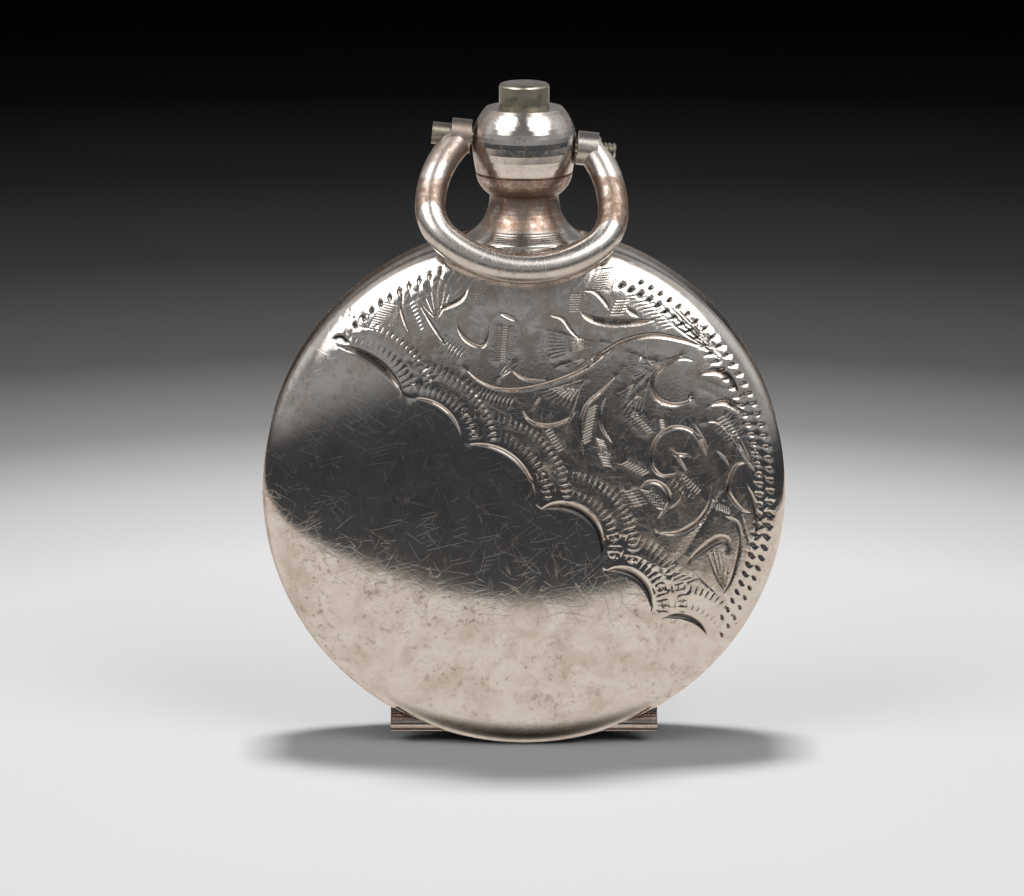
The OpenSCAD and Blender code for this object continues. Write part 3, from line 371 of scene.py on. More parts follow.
def smooth(points, step=STEP):
    """Points about a step apart on the curve that passes through the given points."""
    knots = [Vector(p) for p in points]
    knots = [2 * knots[0] - knots[1]] + knots + [2 * knots[-1] - knots[-2]]
    curve = []
    for a, b, c, d in zip(knots, knots[1:], knots[2:], knots[3:]):
        count = max(1, round((c - b).length / step))
        for i in range(count):
            t = i / count
            curve.append(0.5 * (2 * b + (c - a) * t + (2 * a - 5 * b + 4 * c - d) * t ** 2
                                + (3 * b - a - 3 * c + d) * t ** 3))
    return curve + [knots[-2]]


def cut(points, width, swell=0.5, peak=0.5):
    """One stroke of the graver, widest at the share peak of its length. A high swell tapers it early."""
    curve = smooth(points)
    halves = []
    for i in range(len(curve)):
        t = i / (len(curve) - 1)
        t = 0.5 * t / peak if t < peak else 1 - 0.5 * (1 - t) / (1 - peak)
        halves.append(max(0.5 * width * math.sin(math.pi * t) ** swell, 0.02))
    CUTS.append((curve, halves))
    return curve


def arc(start, end, bulge):
    """Centre, radius, first angle and sweep of the arc from start to end that bulges to the left."""
    a, b = Vector(start), Vector(end)
    chord = b - a
    side = Vector((-chord.y, chord.x)).normalized()
    radius = (chord.length ** 2 / 4 + bulge ** 2) / (2 * bulge)
    centre = (a + b) / 2 + side * (bulge - radius)
    first = math.atan2(*(a - centre).yx)
    sweep = -2 * math.asin(min(1, chord.length / 2 / radius))
    if bulge > chord.length / 2:
        sweep = -2 * math.pi - sweep
    return centre, radius, first, sweep


def arc_points(start, end, bulge, out=0.0, count=5):
    centre, radius, first, sweep = arc(start, end, bulge)
    turns = [first + sweep * i / (count - 1) for i in range(count)]
    return [centre + (radius + out) * Vector((math.cos(t), math.sin(t))) for t in turns]


def scallop(start, end, bulge, width):
    """Shell edge: a bright cut arc, and two rows of short ticks outside it."""
    cut(arc_points(start, end, bulge, count=9), width, swell=0.8, peak=0.4)
    centre, radius, first, sweep = arc(start, end, bulge)
    for out, length, trim in ((0.75, 0.55, 0.06), (2.2, 0.6, 0.02)):
        count = round(abs(sweep) * (1 - 2 * trim) * (radius + out) / 0.46)
        for i in range(count + 1):
            turn = first + sweep * (trim + (1 - 2 * trim) * i / count)
            ray = Vector((math.cos(turn), math.sin(turn)))
            cut([centre + (radius + out) * ray, centre + (radius + out + length) * ray], 0.2, swell=0.4)


def fan(tip, ends, width=0.14):
    """Feathered leaf: cuts that run from the ends and swell before they meet at the tip."""
    for i, end in enumerate(ends):
        towards = Vector(tip) - Vector(end)
        bend = 0.06 * (i - (len(ends) - 1) / 2) / len(ends)
        middle = Vector(end) + towards * 0.5 + Vector((-towards.y, towards.x)) * bend
        cut([end, middle, Vector(end) + towards * 0.97], width, swell=0.6, peak=0.7)


def fan_between(tip, first, last, count, width=0.14):
    a, b = Vector(first), Vector(last)
    fan(tip, [a + (b - a) * i / (count - 1) for i in range(count)], width)


def hatch(first, last, along, count, width=0.11):
    """Parallel cuts of the given vector, whose middles run from first to last."""
    a, b, half = Vector(first), Vector(last), Vector(along) / 2
    for i in range(count):
        middle = a + (b - a) * i / (count - 1)
        cut([middle - half, middle + half], width, swell=0.3)


def punches(radius, first, last, pitch, size):
    """Border row of wedge-shaped punch marks, from angle first to last in degrees about the centre."""
    count = round(math.radians(abs(last - first)) * radius / pitch)
    for i in range(count + 1):
        turn = math.radians(first + (last - first) * i / count)
        out = Vector((math.cos(turn), math.sin(turn)))
        side = Vector((-out.y, out.x))
        tail = out * (radius - size * 0.6) + side * size * 0.3
        head = out * (radius + size * 0.6) - side * size * 0.3
        cut([tail, out * radius, head], size * 0.9, swell=0.7, peak=0.7)


def engrave():
    """The shell border along the diagonal, and the scrolls and leaves above it."""
    for start, end, bulge, width in (
            ((-14.8, 12.2), (-9.6, 8.6), 0.85, 0.75), ((-9.0, 8.4), (-4.9, 4.8), 1.15, 0.3),
            ((-4.7, 4.7), (0.9, -0.2), 1.75, 0.35), ((1.3, -0.5), (6.0, -4.9), 2.1, 0.9),
            ((6.5, -5.6), (10.1, -9.3), 1.45, 0.7), ((11.1, -9.7), (14.8, -11.8), 1.0, 0.55)):
        scallop(start, end, bulge, width)
    cut([(-15.3, 12.7), (-14.6, 12.9), (-13.9, 12.5)], 0.6)
    # stems
    cut([(-4.7, 10.8), (-3.5, 9.8), (-2, 9.2), (0, 9.2), (2.5, 9.8), (4.8, 10.8), (6.5, 12.1), (8, 12.9),
         (10, 13.3), (12, 13.0), (14, 12.3), (15.6, 11.2)], 0.42, swell=0.4, peak=0.65)
    cut([(2, 15), (3, 14.7), (3.6, 13.9), (4.3, 13.1)], 0.3)
    cut([(7.4, 10.3), (6.2, 9.1), (5, 8), (4.5, 6.8), (4.5, 5.2), (4.8, 3.6)], 0.34)
    cut([(6.5, 8.6), (6, 7.3), (6.2, 6), (7, 4.8)], 0.3)
    cut([(4.6, 9.8), (4.0, 8.0), (3.5, 6.4), (3.3, 4.4), (3.3, 2.9)], 0.2)
    cut([(0.2, 6.9), (1, 6.4), (2.2, 6.3), (3.4, 6.7), (4.1, 7.4)], 0.3)
    cut([(-1.2, 11), (-0.4, 10.2), (0.5, 9.9), (1.8, 9.9)], 0.26)
    # leaves and feathers at the top
    cut([(4.5, 16.9), (5.5, 16.8), (6.3, 16.1), (6.8, 15.3)], 0.36, peak=0.7)
    cut([(4.4, 15.4), (5, 14.8), (6.5, 14.35), (8.5, 14.3), (10.6, 14.5)], 0.75, swell=0.8, peak=0.4)
    cut([(8.1, 15.6), (8.4, 15.2), (9.1, 14.8)], 0.4)
    fan((15.9, 11.2), [(9.9, 15.7), (10.5, 15.9), (11.2, 15.8), (11.8, 15.6), (12.5, 15.2), (13, 14.9)], 0.24)
    fan_between((6.9, 12.8), (1.9, 13.8), (2.2, 11.6), 8, 0.12)
    fan_between((4.9, 10.0), (1.2, 9.0), (3.3, 7.7), 7, 0.16)
    fan_between((9.9, 9.9), (7.6, 7.2), (9.2, 6.8), 5, 0.16)
    fan_between((9.7, 10.2), (7.5, 8.9), (7.6, 7.8), 4, 0.14)
    fan_between((13.2, 11.9), (7.9, 10.9), (9.0, 9.9), 6, 0.12)
    fan_between((10.6, 11.3), (8.2, 12.0), (8.3, 11.2), 4, 0.12)
    fan_between((7.0, 12.4), (2.6, 11.0), (4.8, 10.7), 4, 0.14)
    fan_between((10.1, 9.0), (11.6, 7.2), (10.9, 6.9), 4, 0.12)
    fan_between((-2.2, 9.9), (-1.2, 11.4), (-0.6, 11.0), 3, 0.14)
    # scrolls
    cut([(13.4, 11.2), (12.4, 11.4), (11.2, 10.9), (10.4, 10.1), (10.2, 9.1), (10.7, 8.2), (11.8, 7.8),
         (12.9, 8), (13.3, 8.5)], 0.45, peak=0.55)
    cut([(13.2, 8.1), (13.25, 8.4)], 0.4, swell=0.3)
    cut([(14.0, 10.1), (15.3, 10.25), (16.4, 9.6), (17.2, 8.2)], 0.7, swell=0.8)
    cut([(14.7, 7.6), (15.9, 7.8), (17, 7.2), (17.7, 6.5)], 0.6, swell=0.8)
    cut([(14.6, 3.7), (14.0, 5.0), (12.8, 5.9), (11.5, 5.9), (10.5, 5.1), (10.1, 3.8), (10.3, 2.7), (11, 2.1),
         (12.3, 2.3)], 0.36, peak=0.6)
    cut([(11.6, 4.4), (12.3, 3.4), (13, 2.3)], 0.26)
    cut([(11.7, 3.9), (12.4, 3.75), (13.1, 3.75)], 0.32)
    cut([(9.2, 1.1), (9.8, 1.6), (10.7, 1.5), (11.4, 0.8), (11.5, -0.2), (10.6, -1.5)], 0.4)
    cut([(12.5, 2.2), (12.85, 1.1), (12.4, 0), (11.6, -0.6)], 0.28)
    cut([(14.9, 1.2), (14.75, -0.4), (13.8, -1.8), (12.2, -2.65), (10.6, -2.6)], 0.44, peak=0.6)
    cut([(17.7, 2.9), (16.9, 2.7), (16.4, 1.7), (16.3, 0.5), (17.2, -0.8), (18.1, -1.3)], 0.4)
    cut([(17.8, 1.0), (18.4, -0.6), (18.6, -2.2), (18.4, -3.8)], 0.45)
    cut([(16, -1.4), (17, -2), (17.3, -3.4), (17.1, -5), (16.6, -6.8), (15.9, -8)], 0.4)
    cut([(13.2, -4.9), (14.3, -4.0), (15.4, -3.3), (16.2, -3.4), (16.4, -4.2)], 0.6, peak=0.6)
    cut([(14.2, 6.3), (15.4, 6.2), (16.6, 5.0), (17.9, 3.2)], 0.2)
    fan((16.0, -7.6), [(14.7, -4.4), (15.1, -4.1), (15.5, -4.1), (15.9, -4.3), (16.4, -4.8)], 0.26)
    fan((18.6, 1.8), [(16.5, 5.2), (17.1, 5.3), (17.7, 5.1), (18.2, 4.9)], 0.2)
    # left-hand leaves
    cut([(-9.6, 17), (-9.8, 15.6), (-9.5, 14.4), (-9.1, 13.4)], 0.36)
    cut([(-8.3, 15.7), (-7.2, 14), (-6.2, 12.5)], 0.3)
    fan((-6.9, 14.6), [(-8.2, 15.9), (-7.9, 16.5), (-7.4, 17.0), (-6.9, 17.1), (-6.3, 17.0), (-5.9, 16.8)],
        0.22)
    cut([(-6.8, 15.3), (-5.9, 15.7), (-5, 16.2), (-4.4, 17.1)], 0.55, swell=0.8)
    cut([(-5.3, 15), (-5.25, 14), (-4.6, 13), (-3.4, 12.5), (-2.9, 13.2), (-2.8, 14.2)], 0.36)
    cut([(-2, 15.2), (-0.5, 14.5)], 0.34)
    cut([(12.9, 6.3), (13.8, 5.0), (14.6, 3.4)], 0.24)
    cut([(13.4, 6.4), (14.2, 5.1), (14.7, 4.0)], 0.18)
    cut([(1.3, 8.8), (1.1, 8.3), (0.7, 7.8)], 0.24)
    cut([(-0.2, 7.6), (0.2, 6.9), (1.0, 6.2)], 0.24)
    cut([(15.3, 4.0), (15.9, 3.4), (16.4, 2.6)], 0.22)
    # hatched grounds
    hatch((15.2, -0.4), (16.5, -1.0), (0.05, -1.3), 8)
    hatch((6.0, 5.1), (6.5, 3.9), (1.4, -0.55), 7)
    hatch((10.9, 6.6), (11.0, 5.9), (0.9, -0.1), 5)
    hatch((-3.6, 8.8), (-1.0, 8.2), (0.5, 0.9), 9)
    hatch((1.9, 5.9), (2.9, 4.3), (0.9, 0.5), 8)
    hatch((15.6, 6.6), (16.9, 4.9), (1.0, 0.5), 8)
    hatch((8.6, 7.2), (10.0, 5.6), (1.3, 0.4), 9)
    hatch((9.6, 0.9), (10.9, -0.6), (1.2, -0.3), 7)
    hatch((12.6, 2.0), (13.9, 0.7), (0.8, 1.0), 8)
    hatch((-8.9, 15.9), (-8.1, 13.9), (0.7, 0.5), 8)
    hatch((-6.4, 12.9), (-5.0, 11.9), (0.6, 0.9), 7)
    hatch((8.8, 16.4), (11.6, 13.9), (1.6, 0.3), 11)
    hatch((-1.7, 11.4), (-1.5, 14.1), (1.3, -0.12), 15)
    hatch((-12.0, 13.7), (-10.7, 15.7), (2.0, -0.35), 12)
    hatch((-4.0, 16.0), (-3.4, 17.6), (1.3, 0.1), 8)
    hatch((3.9, 15.3), (4.0, 16.6), (1.7, 0.05), 8)
    hatch((5.8, 16.9), (6.6, 18.5), (2.2, 0.1), 10)
    hatch((7.3, 15.0), (7.8, 16.1), (1.9, 0.05), 6)
    hatch((5.4, 7.7), (4.9, 4.9), (0.85, 0.45), 12, 0.14)
    hatch((13.9, 9.4), (16.3, 8.3), (0.1, -1.0), 13)
    hatch((6.0, 4.4), (6.6, 3.0), (1.5, -0.25), 7)
    hatch((8.0, 3.2), (9.6, 2.3), (1.0, 0.5), 8)
    hatch((8.3, 0.9), (9.1, -0.3), (1.4, 0.25), 6)
    hatch((12.4, -4.6), (15.2, 0.0), (1.3, 1.2), 15)
    hatch((13.2, 0.5), (11.8, 1.6), (0.5, 0.8), 5)
    hatch((12.0, -6.0), (13.4, -6.6), (0.7, 0.25), 4, 0.2)
    hatch((14.2, -6.6), (15.2, -7.6), (0.5, -0.6), 5, 0.2)
    hatch((17.4, -1.6), (18.0, -3.6), (0.15, -1.4), 5, 0.13)
    # punched border
    punches(18.75, 66, -32, 0.82, 0.5)
    punches(19.65, 62, -36, 0.9, 0.5)
    punches(19.3, 110, 134, 0.95, 0.5)


# ---------------------------------------------------------------- covers

def dome_height(radius, base=COVER_R, height=DOME_H):
    return height * math.sqrt(max(0.0, 1 - (radius / base) ** DOME_POWER))


def dome_slope(radius):
    """Fall of the outer skin per millimetre outwards."""
    drop = (radius / COVER_R) ** DOME_POWER
    return DOME_H * DOME_POWER / 2 * (radius / COVER_R) ** (DOME_POWER - 1) / COVER_R / math.sqrt(1 - drop)


class Cells:
    """Things filed by the square they lie in, to find near ones fast."""

    def __init__(self, size):
        self.size = size
        self.filed = {}

    def key(self, p):
        return int(p[0] // self.size), int(p[1] // self.size)

    def put(self, p, thing):
        self.filed.setdefault(self.key(p), []).append(thing)

    def near(self, p):
        i, j = self.key(p)
        for di in (-1, 0, 1):
            for dj in (-1, 0, 1):
                yield from self.filed.get((i + di, j + dj), ())


def spread(limit):
    """Flat points that carry the cuts, and a coarser even net elsewhere, inside a radius."""
    chosen = []
    fine = Cells(0.06)
    coarse = Cells(0.3)

    def offer(p, cells, apart):
        if p.length < limit - 0.15 and all((p - q).length > apart for q in cells.near(p)):
            chosen.append(p)
            fine.put(p, p)
            coarse.put(p, p)

    for rows in ((0,), (-1, 1), (-1.45, 1.45), (-0.5, 0.5)):
        for curve, halves in CUTS:
            for i, (p, half) in enumerate(zip(curve, halves)):
                along = (curve[min(i + 1, len(curve) - 1)] - curve[max(i - 1, 0)]).normalized()
                side = Vector((-along.y, along.x))
                for row in rows:
                    if abs(row) != 0.5 or half > 0.14:
                        reach = half * row if abs(row) <= 1 else half * row + math.copysign(0.03, row)
                        offer(p + side * reach, fine, 0.05)
    for k in range(1, round(limit / 0.42)):
        radius = limit * k / round(limit / 0.42)
        count = round(2 * math.pi * radius / 0.45)
        for i in range(count):
            turn = 2 * math.pi * (i + 0.5 * (k % 2)) / count
            offer(Vector((radius * math.cos(turn), radius * math.sin(turn))), coarse, 0.26)
    return chosen


def depth_finder():
    """A function that gives the engraving's depth at a flat point, and its share of the cut's half width."""
    pieces = Cells(0.7)
    for curve, halves in CUTS:
        for a, b, half_a, half_b in zip(curve, curve[1:], halves, halves[1:]):
            pieces.put((a + b) / 2, (a, b, half_a, half_b))

    def depth(p):
        deepest = 0.0
        for a, b, half_a, half_b in pieces.near(p):
            run = b - a
            t = min(1.0, max(0.0, (p - a).dot(run) / run.length_squared))
            half = half_a + (half_b - half_a) * t
            away = (p - a - run * t).length
            if away < half:
                deepest = max(deepest, min(half * STEEPNESS, DEEPEST) * (1 - away / half))
        return deepest

    return depth


RING = 288                               # points round each ring of a cover
FLAT_SHARE = 0.985                       # radius share up to which the outer skin is laid out flat


def ring_at(radius, height, count=RING):
    turns = [2 * math.pi * i / count for i in range(count)]
    return [Vector((radius * math.cos(t), -(RIM_H + height), radius * math.sin(t))) for t in turns]


def cover_shell(engraved):
    """Vertices, faces and cut depths of a closed cover, facing -Y."""
    limit = COVER_R * FLAT_SHARE
    edge = [p.xz for p in ring_at(limit, 0)]
    flat = spread(limit) if engraved else []
    if not engraved:
        for k in range(1, 40):
            flat += [p.xz for p in ring_at(limit * k / 40, 0, 8 * max(1, k))]
    flat.append(Vector((0, 0)))
    points, _, faces, *_ = delaunay_2d_cdt(edge + flat, [], [list(range(RING))], 1, 1e-5)
    depth = depth_finder() if engraved else lambda p: 0.0
    shape, cuts = [], []
    for i, p in enumerate(points):
        sunk = 0.0 if i < RING else depth(p)
        radius = p.length
        out = Vector((0, -1, 0))
        if radius != 0:
            out = Vector((p.x / radius, -1 / dome_slope(radius), p.y / radius))
        shape.append(Vector((p.x, -(RIM_H + dome_height(radius)), p.y)) - out.normalized() * sunk)
        cuts.append(sunk / DEEPEST)
    faces = [list(f) for f in faces]
    if (shape[faces[0][1]] - shape[faces[0][0]]).cross(shape[faces[0][2]] - shape[faces[0][0]]).y > 0:
        faces = [f[::-1] for f in faces]
    first_angle = math.asin(FLAT_SHARE ** (DOME_POWER / 2))
    section = []
    for i in range(1, 7):
        a = first_angle + (math.pi / 2 - first_angle) * i / 6
        section.append((COVER_R * math.sin(a) ** (2 / DOME_POWER), DOME_H * math.cos(a)))
    section += [(COVER_R - RIM_W, 0), (COVER_R - RIM_W, RIM_T)]
    inner_r, inner_h = COVER_R - SHEET, DOME_H - SHEET
    for i in range(1, 20):
        a = math.pi / 2 * (1 - i / 20)
        if inner_h * math.cos(a) > RIM_T + 0.1:
            section.append((inner_r * math.sin(a) ** (2 / DOME_POWER), inner_h * math.cos(a)))
    last = 0
    for radius, height in section:
        start = len(shape)
        shape += ring_at(radius, height)
        for i in range(RING):
            j = (i + 1) % RING
            faces.append([last + j, last + i, start + i, start + j])
        last = start
    shape.append(Vector((0, -(RIM_H + inner_h), 0)))
    faces += [[last + (i + 1) % RING, last + i, len(shape) - 1] for i in range(RING)]
    cuts += [0.0] * (len(shape) - len(cuts))
    return shape, faces, cuts


def shell_object(name, shape, faces, cuts=None, back=False):
    """A closed shell as an object, turned to face +Y for the back cover."""
    mesh = bpy.data.meshes.new(name)
    turn = Matrix.Rotation(math.pi, 3, "Z") if back else Matrix.Identity(3)
    mesh.from_pydata([turn @ p * MM for p in shape], [], faces)
    if cuts:
        layer = mesh.attributes.new("cut", "FLOAT", "POINT")
        layer.data.foreach_set("value", cuts)
    made = bpy.data.objects.new(name, mesh)
    bpy.context.scene.collection.objects.link(made)
    return made


def tube(name, radius, start, end, count=48, bore=0.0):
    """Closed tube, or rod if there is no bore, between two points in millimetres."""
    axis = Vector(end) - Vector(start)
    turn = axis.to_track_quat("Z", "Y").to_matrix()
    shape, faces = [], []
    for r, z in ((radius, 0), (radius, axis.length), (bore, axis.length), (bore, 0)):
        for i in range(count):
            t = 2 * math.pi * i / count
            shape.append(Vector(start) + turn @ Vector((r * math.cos(t), r * math.sin(t), z)))
    if bore:
        for k in range(4):
            for i in range(count):
                j = (i + 1) % count
                faces.append([k * count + i, k * count + j, (k + 1) % 4 * count + j, (k + 1) % 4 * count + i])
    else:
        shape = shape[:2 * count]
        faces = [[i, (i + 1) % count, count + (i + 1) % count, count + i] for i in range(count)]
        faces += [list(range(count))[::-1], list(range(count, 2 * count))]
    mesh = bpy.data.meshes.new(name)
    mesh.from_pydata([p * MM for p in shape], [], faces)
    made = bpy.data.objects.new(name, mesh)
    bpy.context.scene.collection.objects.link(made)
    return made


def baked(made, cutters):
    """Cuts the cutters out of an object for good."""
    for cutter in cutters:
        modifier = made.modifiers.new("hole", "BOOLEAN")
        modifier.operation = "DIFFERENCE"
        modifier.solver = "EXACT"
        modifier.object = cutter
    bpy.context.view_layer.update()
    result = bpy.data.meshes.new_from_object(made.evaluated_get(bpy.context.evaluated_depsgraph_get()))
    made.modifiers.clear()
    made.data = result
    for cutter in cutters:
        bpy.data.objects.remove(cutter)


def joined(made, others):
    """Adds the meshes of other objects to one object."""
    bpy.ops.object.select_all(action="DESELECT")
    for other in [made, *others]:
        other.select_set(True)
    bpy.context.view_layer.objects.active = made
    bpy.ops.object.join()


def finish_piece(made, node, body, material, sharp=35):
    """Smooth shading, material and place in the frame of a piece that stands for a CAD node."""
    made.data.polygons.foreach_set("use_smooth", [True] * len(made.data.polygons))
    made.data.set_sharp_from_angle(angle=math.radians(sharp))
    made.data.materials.clear()
    made.data.materials.append(material)
    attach(made, body)
    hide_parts(node)


NOTCH_R, NOTCH_Z = 4.85, 18.95           # clearance of the cover round the pendant's foot
KNUCKLE_SHARES = ((0.215, 0.6), (-0.6, -0.215))


def build_cover(name, node, body, engraved, material):
    """Cover with the notch for the pendant, the hinge trough and its two knuckles."""
    shape, faces, cuts = cover_shell(engraved)
    side = -1 if node == "front_cover" else 1
    made = shell_object(name, shape, faces, cuts, back=side > 0)
    y = side * RIM_H
    notch = tube("notch", NOTCH_R, (0, 0, NOTCH_Z), (0, 0, NOTCH_Z + 4), 96)
    end = HINGE_HALF + 0.03
    trough = tube("trough", KNUCKLE_R + 0.03, (-end, y, HINGE_Z), (end, y, HINGE_Z), 64)
    baked(made, [notch, trough])
    knuckles = []
    for a, b in KNUCKLE_SHARES:
        ends = (a * HINGE_HALF, y, HINGE_Z), (b * HINGE_HALF, y, HINGE_Z)
        knuckles.append(tube("knuckle", KNUCKLE_R, *ends, bore=0.33))
    joined(made, knuckles)
    finish_piece(made, node, body, material)


engrave()
build_cover("engraved_front_cover", "front_cover", "front_cover", True, ENGRAVED)
build_cover("plain_back_cover", "back_cover", "back_cover", False, MATERIALS["worn_silver"])


# ---------------------------------------------------------------- dial

def flat_mesh(name, outlines, y, material, body="case"):
    """Thin printed shape on the dial: outlines of (x, z) points in millimetres, all in the plane y."""
    mesh = bpy.data.meshes.new(name)
    shape, faces = [], []
    for outline in outlines:
        faces.append(list(range(len(shape), len(shape) + len(outline))))
        shape += [Vector((x, y, z)) * MM for x, z in outline]
    mesh.from_pydata(shape, [], faces)
    made = bpy.data.objects.new(name, mesh)
    bpy.context.scene.collection.objects.link(made)
    made.data.materials.append(material)
    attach(made, body)
    return made


def on_circle(radius, turn, centre=(0, 0)):
    """Point at a clock angle in degrees, 0 at the top and growing clockwise as seen from the front."""
    a = math.radians(turn)
    return Vector((centre[0] + radius * math.sin(a), centre[1] + radius * math.cos(a)))


def band(radius, width, centre=(0, 0), count=120):
    """Outlines of a thin printed circle."""
    made = []
    for i in range(count):
        a, b = 360 * i / count, 360 * (i + 1) / count
        made.append([on_circle(radius, a, centre), on_circle(radius, b, centre),
                     on_circle(radius + width, b, centre), on_circle(radius + width, a, centre)])
    return made


def bar(a, b, width):
    """Outline of a straight stroke."""
    side = Vector((-(b - a).y, (b - a).x)).normalized() * width / 2
    return [a - side, b - side, b + side, a + side]


def track(inner, outer, count, heavy, centre=(0, 0)):
    """Outlines of a railway track of divisions, each heavy-th one thicker."""
    made = band(inner, 0.05, centre) + band(outer, 0.05, centre)
    for i in range(count):
        turn = 360 * i / count
        width = 0.16 if i % heavy == 0 else 0.06
        made.append(bar(on_circle(inner, turn, centre), on_circle(outer, turn, centre), width))
    return made


SECONDS_MIDDLE = (0, -8.6)
NUMERALS = ("XII", "I", "II", "III", "IIII", "V", "VI", "VII", "VIII", "IX", "X", "XI")


def numeral(word, turn, foot, top):
    """Outlines of a Roman numeral whose feet stand towards the centre."""
    height = top - foot
    thick, thin = 0.42, 0.14
    widths = {"I": 0.62, "V": 1.35, "X": 1.45}
    total = sum(widths[letter] for letter in word)
    x = -total / 2
    strokes = []
    for letter in word:
        middle, half = x + widths[letter] / 2, widths[letter] / 2 - 0.18
        if letter == "I":
            strokes.append(((middle, 0), (middle, height), thick))
        if letter == "V":
            strokes.append(((middle - half, height), (middle, 0), thick))
            strokes.append(((middle + half, height), (middle, 0), thin))
        if letter == "X":
            strokes.append(((middle - half, height), (middle + half, 0), thick))
            strokes.append(((middle + half, height), (middle - half, 0), thin))
        x += widths[letter]
    strokes.append(((-total / 2 + 0.1, 0.06), (total / 2 - 0.1, 0.06), 0.12))
    strokes.append(((-total / 2 + 0.1, height - 0.06), (total / 2 - 0.1, height - 0.06), 0.12))
    up = on_circle(1, turn)
    right = Vector((up.y, -up.x))
    return [bar(up * (foot + a[1]) + right * a[0], up * (foot + b[1]) + right * b[0], width)
            for a, b, width in strokes]


def build_dial():
    """Printed minute track, Roman hours and seconds track, a hair above the enamel."""
    dial_low, dial_high = span("dial")
    dial_r = (dial_high.x - dial_low.x) / 2
    face = dial_low.y - 0.012
    seconds_high = span("seconds_hand")[1]
    outlines = track(dial_r - 2.0, dial_r - 1.2, 60, 5)
    for hour, word in enumerate(NUMERALS):
        if word != "VI":
            outlines += numeral(word, 30 * hour, dial_r - 5.6, dial_r - 2.5)
    flat_mesh("dial_hours", outlines, face, PAINT)
    floor = seconds_high.y - 0.02
    flat_mesh("dial_seconds", track(2.7, 3.25, 60, 5, SECONDS_MIDDLE), floor, PAINT)


build_dial()


# ---------------------------------------------------------------- stage

FLOOR_REACH = 0.45                       # metres from the watch to where the table is black
FLOOR_TONES = [(0.0, 0.84), (0.15, 0.78), (0.21, 0.58), (0.265, 0.27), (0.34, 0.10), (0.47, 0.036),
               (0.60, 0.013), (0.75, 0.003), (0.9, 0.001)]    # (share of the reach, tone)
TABLE_HALF = 3.0                         # metres
COVER_DROP = 1.5                         # the table's drop in cover radii, times -cos of the cover's angle
DOME_DROP = 0.65                         # its further drop in dome heights, times -cos of twice the angle
DOME_FROM = 1                            # radians from which the further drop counts


def build_floor():
    """Pale table with a painted pool of light: its colour fades to black far behind the watch."""
    made, tree = new_material("table")
    away = add(tree, "VectorMath", {0: add(tree, "NewGeometry").outputs["Position"]}, operation="LENGTH")
    share = calc(tree, "DIVIDE", away.outputs["Value"], FLOOR_REACH)
    tone = ramp(tree, share, FLOOR_TONES)
    finish_material(made, tree, Base_Color=tone, Roughness=0.9, Specular_IOR_Level=0.0)
    mesh = bpy.data.meshes.new("table")
    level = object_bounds()[0].z
    corners = [(-1, -1), (1, -1), (1, 1), (-1, 1)]
    mesh.from_pydata([(x * TABLE_HALF, y * TABLE_HALF, level) for x, y in corners], [], [(0, 1, 2, 3)])
    mesh.materials.append(made)
    table = bpy.data.objects.new("table", mesh)
    bpy.context.scene.collection.objects.link(table)
    table.visible_glossy = False
    lower_under_open_covers(table)


def lower_under_open_covers(table):
    """Lets the table sink under a cover that is open past a right angle, since the hinges are at the foot."""
    driver = table.driver_add("location", 2).driver
    for body in ("front_cover", "back_cover"):
        angle = driver.variables.new()
        angle.name = body
        angle.type = "TRANSFORMS"
        angle.targets[0].id = frame["bodies"][body]
        angle.targets[0].transform_type = "ROT_X"
        angle.targets[0].transform_space = "WORLD_SPACE"
    far_edge = "max(0, -cos(front_cover), -cos(back_cover))"
    domes = [f"-cos(2 * {body}) * (abs({body}) > {DOME_FROM})" for body in ("front_cover", "back_cover")]
    dome = f"max(0, {domes[0]}, {domes[1]})"
    driver.expression = f"-({COVER_DROP * COVER_R * MM} * {far_edge} + {DOME_DROP * DOME_H * MM} * {dome})"


def build_lamp(name, place, aim, size, power):
    data = bpy.data.lights.new(name, "AREA")
    data.shape = "RECTANGLE"
    data.size, data.size_y = size
    data.energy = power
    lamp = bpy.data.objects.new(name, data)
    lamp.location = place
    lamp.rotation_mode = "QUATERNION"
    lamp.rotation_quaternion = (Vector(place) - Vector(aim)).to_track_quat("Z", "Y")
    lamp.visible_glossy = False
    bpy.context.scene.collection.objects.link(lamp)


def soft_spot(tree, way, place, inner, outer, tone):
    """Light patch of the studio that reflections see, round a direction."""
    middle = Vector(place).normalized()
    along = add(tree, "VectorMath", {0: way, 1: middle}, operation="DOT_PRODUCT").outputs["Value"]
    mask = fade(tree, along, math.cos(math.radians(outer)), math.cos(math.radians(inner)))
    return calc(tree, "MULTIPLY", mask, tone)


# sine of the elevation of the table's far edge in reflections: level at the sides, rise towards the back,
# drop to the right
TABLE_EDGE = (-0.25, 0.13, 0.05)
ROOM_TONES = [(0.0, (0.03, 0.03, 0.033)), (0.34, (0.060, 0.064, 0.070)), (0.42, (0.045, 0.050, 0.058)),
              (0.475, (0.06, 0.065, 0.072)), (0.505, (0.19, 0.195, 0.20)), (0.55, (0.36, 0.36, 0.365)),
              (0.62, (0.33, 0.33, 0.335)), (0.70, (0.20, 0.20, 0.205)), (1.0, (0.10, 0.10, 0.105))]
TABLE_TONES = [(0.0, (0.03, 0.025, 0.02)), (0.02, (0.18, 0.16, 0.14)), (0.05, (0.78, 0.72, 0.66)),
               (0.5, (0.83, 0.77, 0.71))]
# (direction, radius of the full core and of the edge in degrees, brightness)
SOFT_SPOTS = (((-0.60, -0.42, 0.68), 8, 26, 4.5), ((0.52, -0.49, 0.70), 8, 28, 4.5),
              ((0.75, 0.2, 0.6), 10, 35, 0.5), ((-0.75, 0.2, 0.6), 10, 35, 0.5))


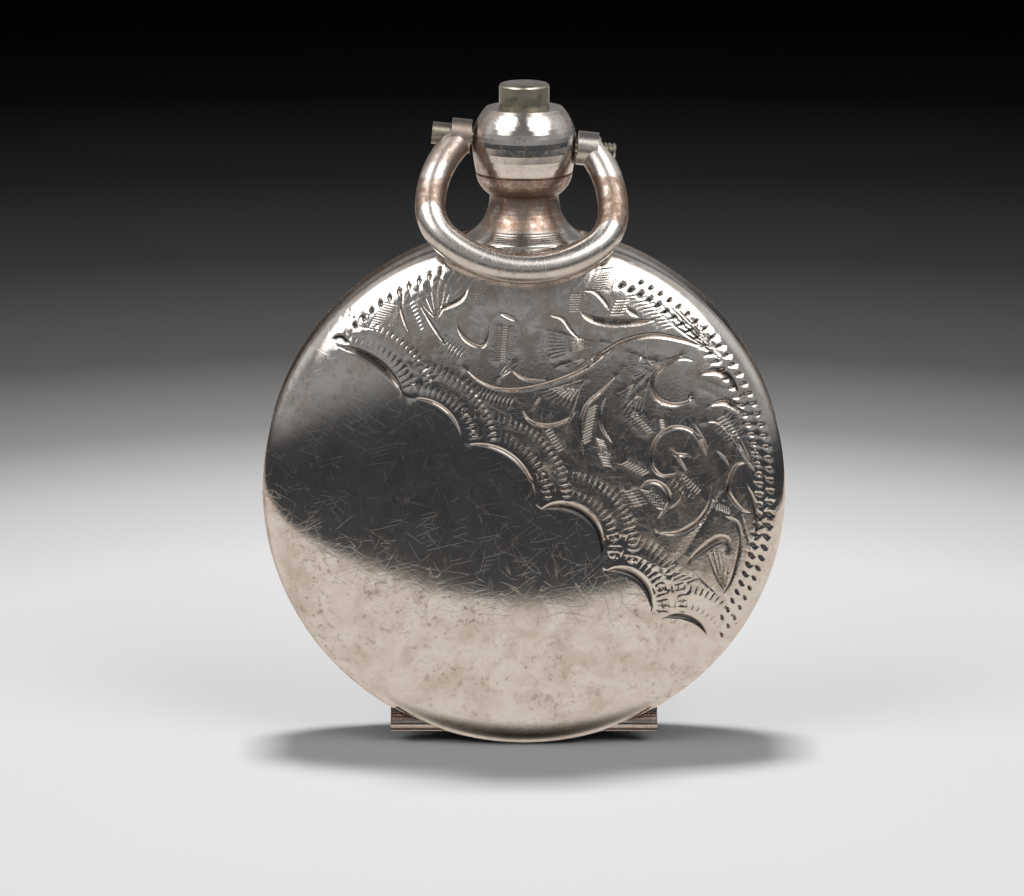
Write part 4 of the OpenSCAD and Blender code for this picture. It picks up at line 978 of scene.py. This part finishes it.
def build_studio():
    """Surroundings: black to the camera; to reflections, a warm table below and a dim room with two lamps."""
    world = bpy.data.worlds.new("studio")
    world.use_nodes = True
    bpy.context.scene.world = world
    tree = world.node_tree
    tree.nodes.clear()
    way = add(tree, "TexCoord").outputs["Generated"]
    parts = add(tree, "SeparateXYZ", {0: way})
    x, y, z = (parts.outputs[i] for i in range(3))
    edge = calc(tree, "MULTIPLY_ADD", y, TABLE_EDGE[1], TABLE_EDGE[0])
    edge = calc(tree, "SUBTRACT", edge, calc(tree, "MULTIPLY", calc(tree, "MAXIMUM", x, 0.0), TABLE_EDGE[2]))
    above = calc(tree, "SUBTRACT", z, edge)
    room = ramp(tree, calc(tree, "MULTIPLY_ADD", z, 0.5, 0.5), ROOM_TONES)
    table = ramp(tree, calc(tree, "MULTIPLY_ADD", z, 0.5, 0.5), TABLE_TONES)
    seen = blend_colours(tree, fade(tree, above, -0.012, 0.012), table, room)
    glow = 0.0
    for place, inner, outer, tone in SOFT_SPOTS:
        glow = calc(tree, "ADD", soft_spot(tree, way, place, inner, outer, tone), glow)
    grey = add(tree, "CombineXYZ", {0: glow, 1: glow, 2: glow}).outputs[0]
    lit = add(tree, "VectorMath", {0: seen, 1: grey}, operation="ADD").outputs[0]
    paths = add(tree, "LightPath")
    scattered = calc(tree, "MINIMUM", paths.outputs["Diffuse Depth"], 1.0)
    unseen = calc(tree, "MAXIMUM", paths.outputs["Is Camera Ray"], scattered)
    direct = blend_colours(tree, unseen, lit, (0.002, 0.003, 0.004))
    out = add(tree, "OutputWorld")
    background = add(tree, "Background", {"Color": direct, "Strength": 1.0})
    tree.links.new(background.outputs[0], out.inputs["Surface"])


def build_camera():
    """The photograph's view: level with the watch's width, from 13 degrees above."""
    tilt = math.radians(13)
    aim = Vector((-0.97, 0, 3.06)) * MM
    away = Vector((0, -math.cos(tilt), math.sin(tilt)))
    data = bpy.data.cameras.new("camera")
    data.lens, data.sensor_width = 174.6, 36
    data.clip_start, data.clip_end = 0.01, 10
    camera = bpy.data.objects.new("camera", data)
    camera.location = aim + away * 0.4
    camera.rotation_mode = "QUATERNION"
    camera.rotation_quaternion = away.to_track_quat("Z", "Y")
    bpy.context.scene.collection.objects.link(camera)
    bpy.context.scene.camera = camera


bpy.context.scene.view_settings.view_transform = "Standard"
build_floor()
build_studio()
build_lamp("ceiling", (-0.02, 0.15, 0.9), (0, 0, 0), (0.20, 0.12), 5.8)
build_lamp("left", (-0.8, 0.3, 0.5), (0, 0, 0), (0.4, 0.6), 0.1)
build_lamp("right", (0.8, 0.3, 0.5), (0, 0, 0), (0.4, 0.6), 0.1)
build_camera()
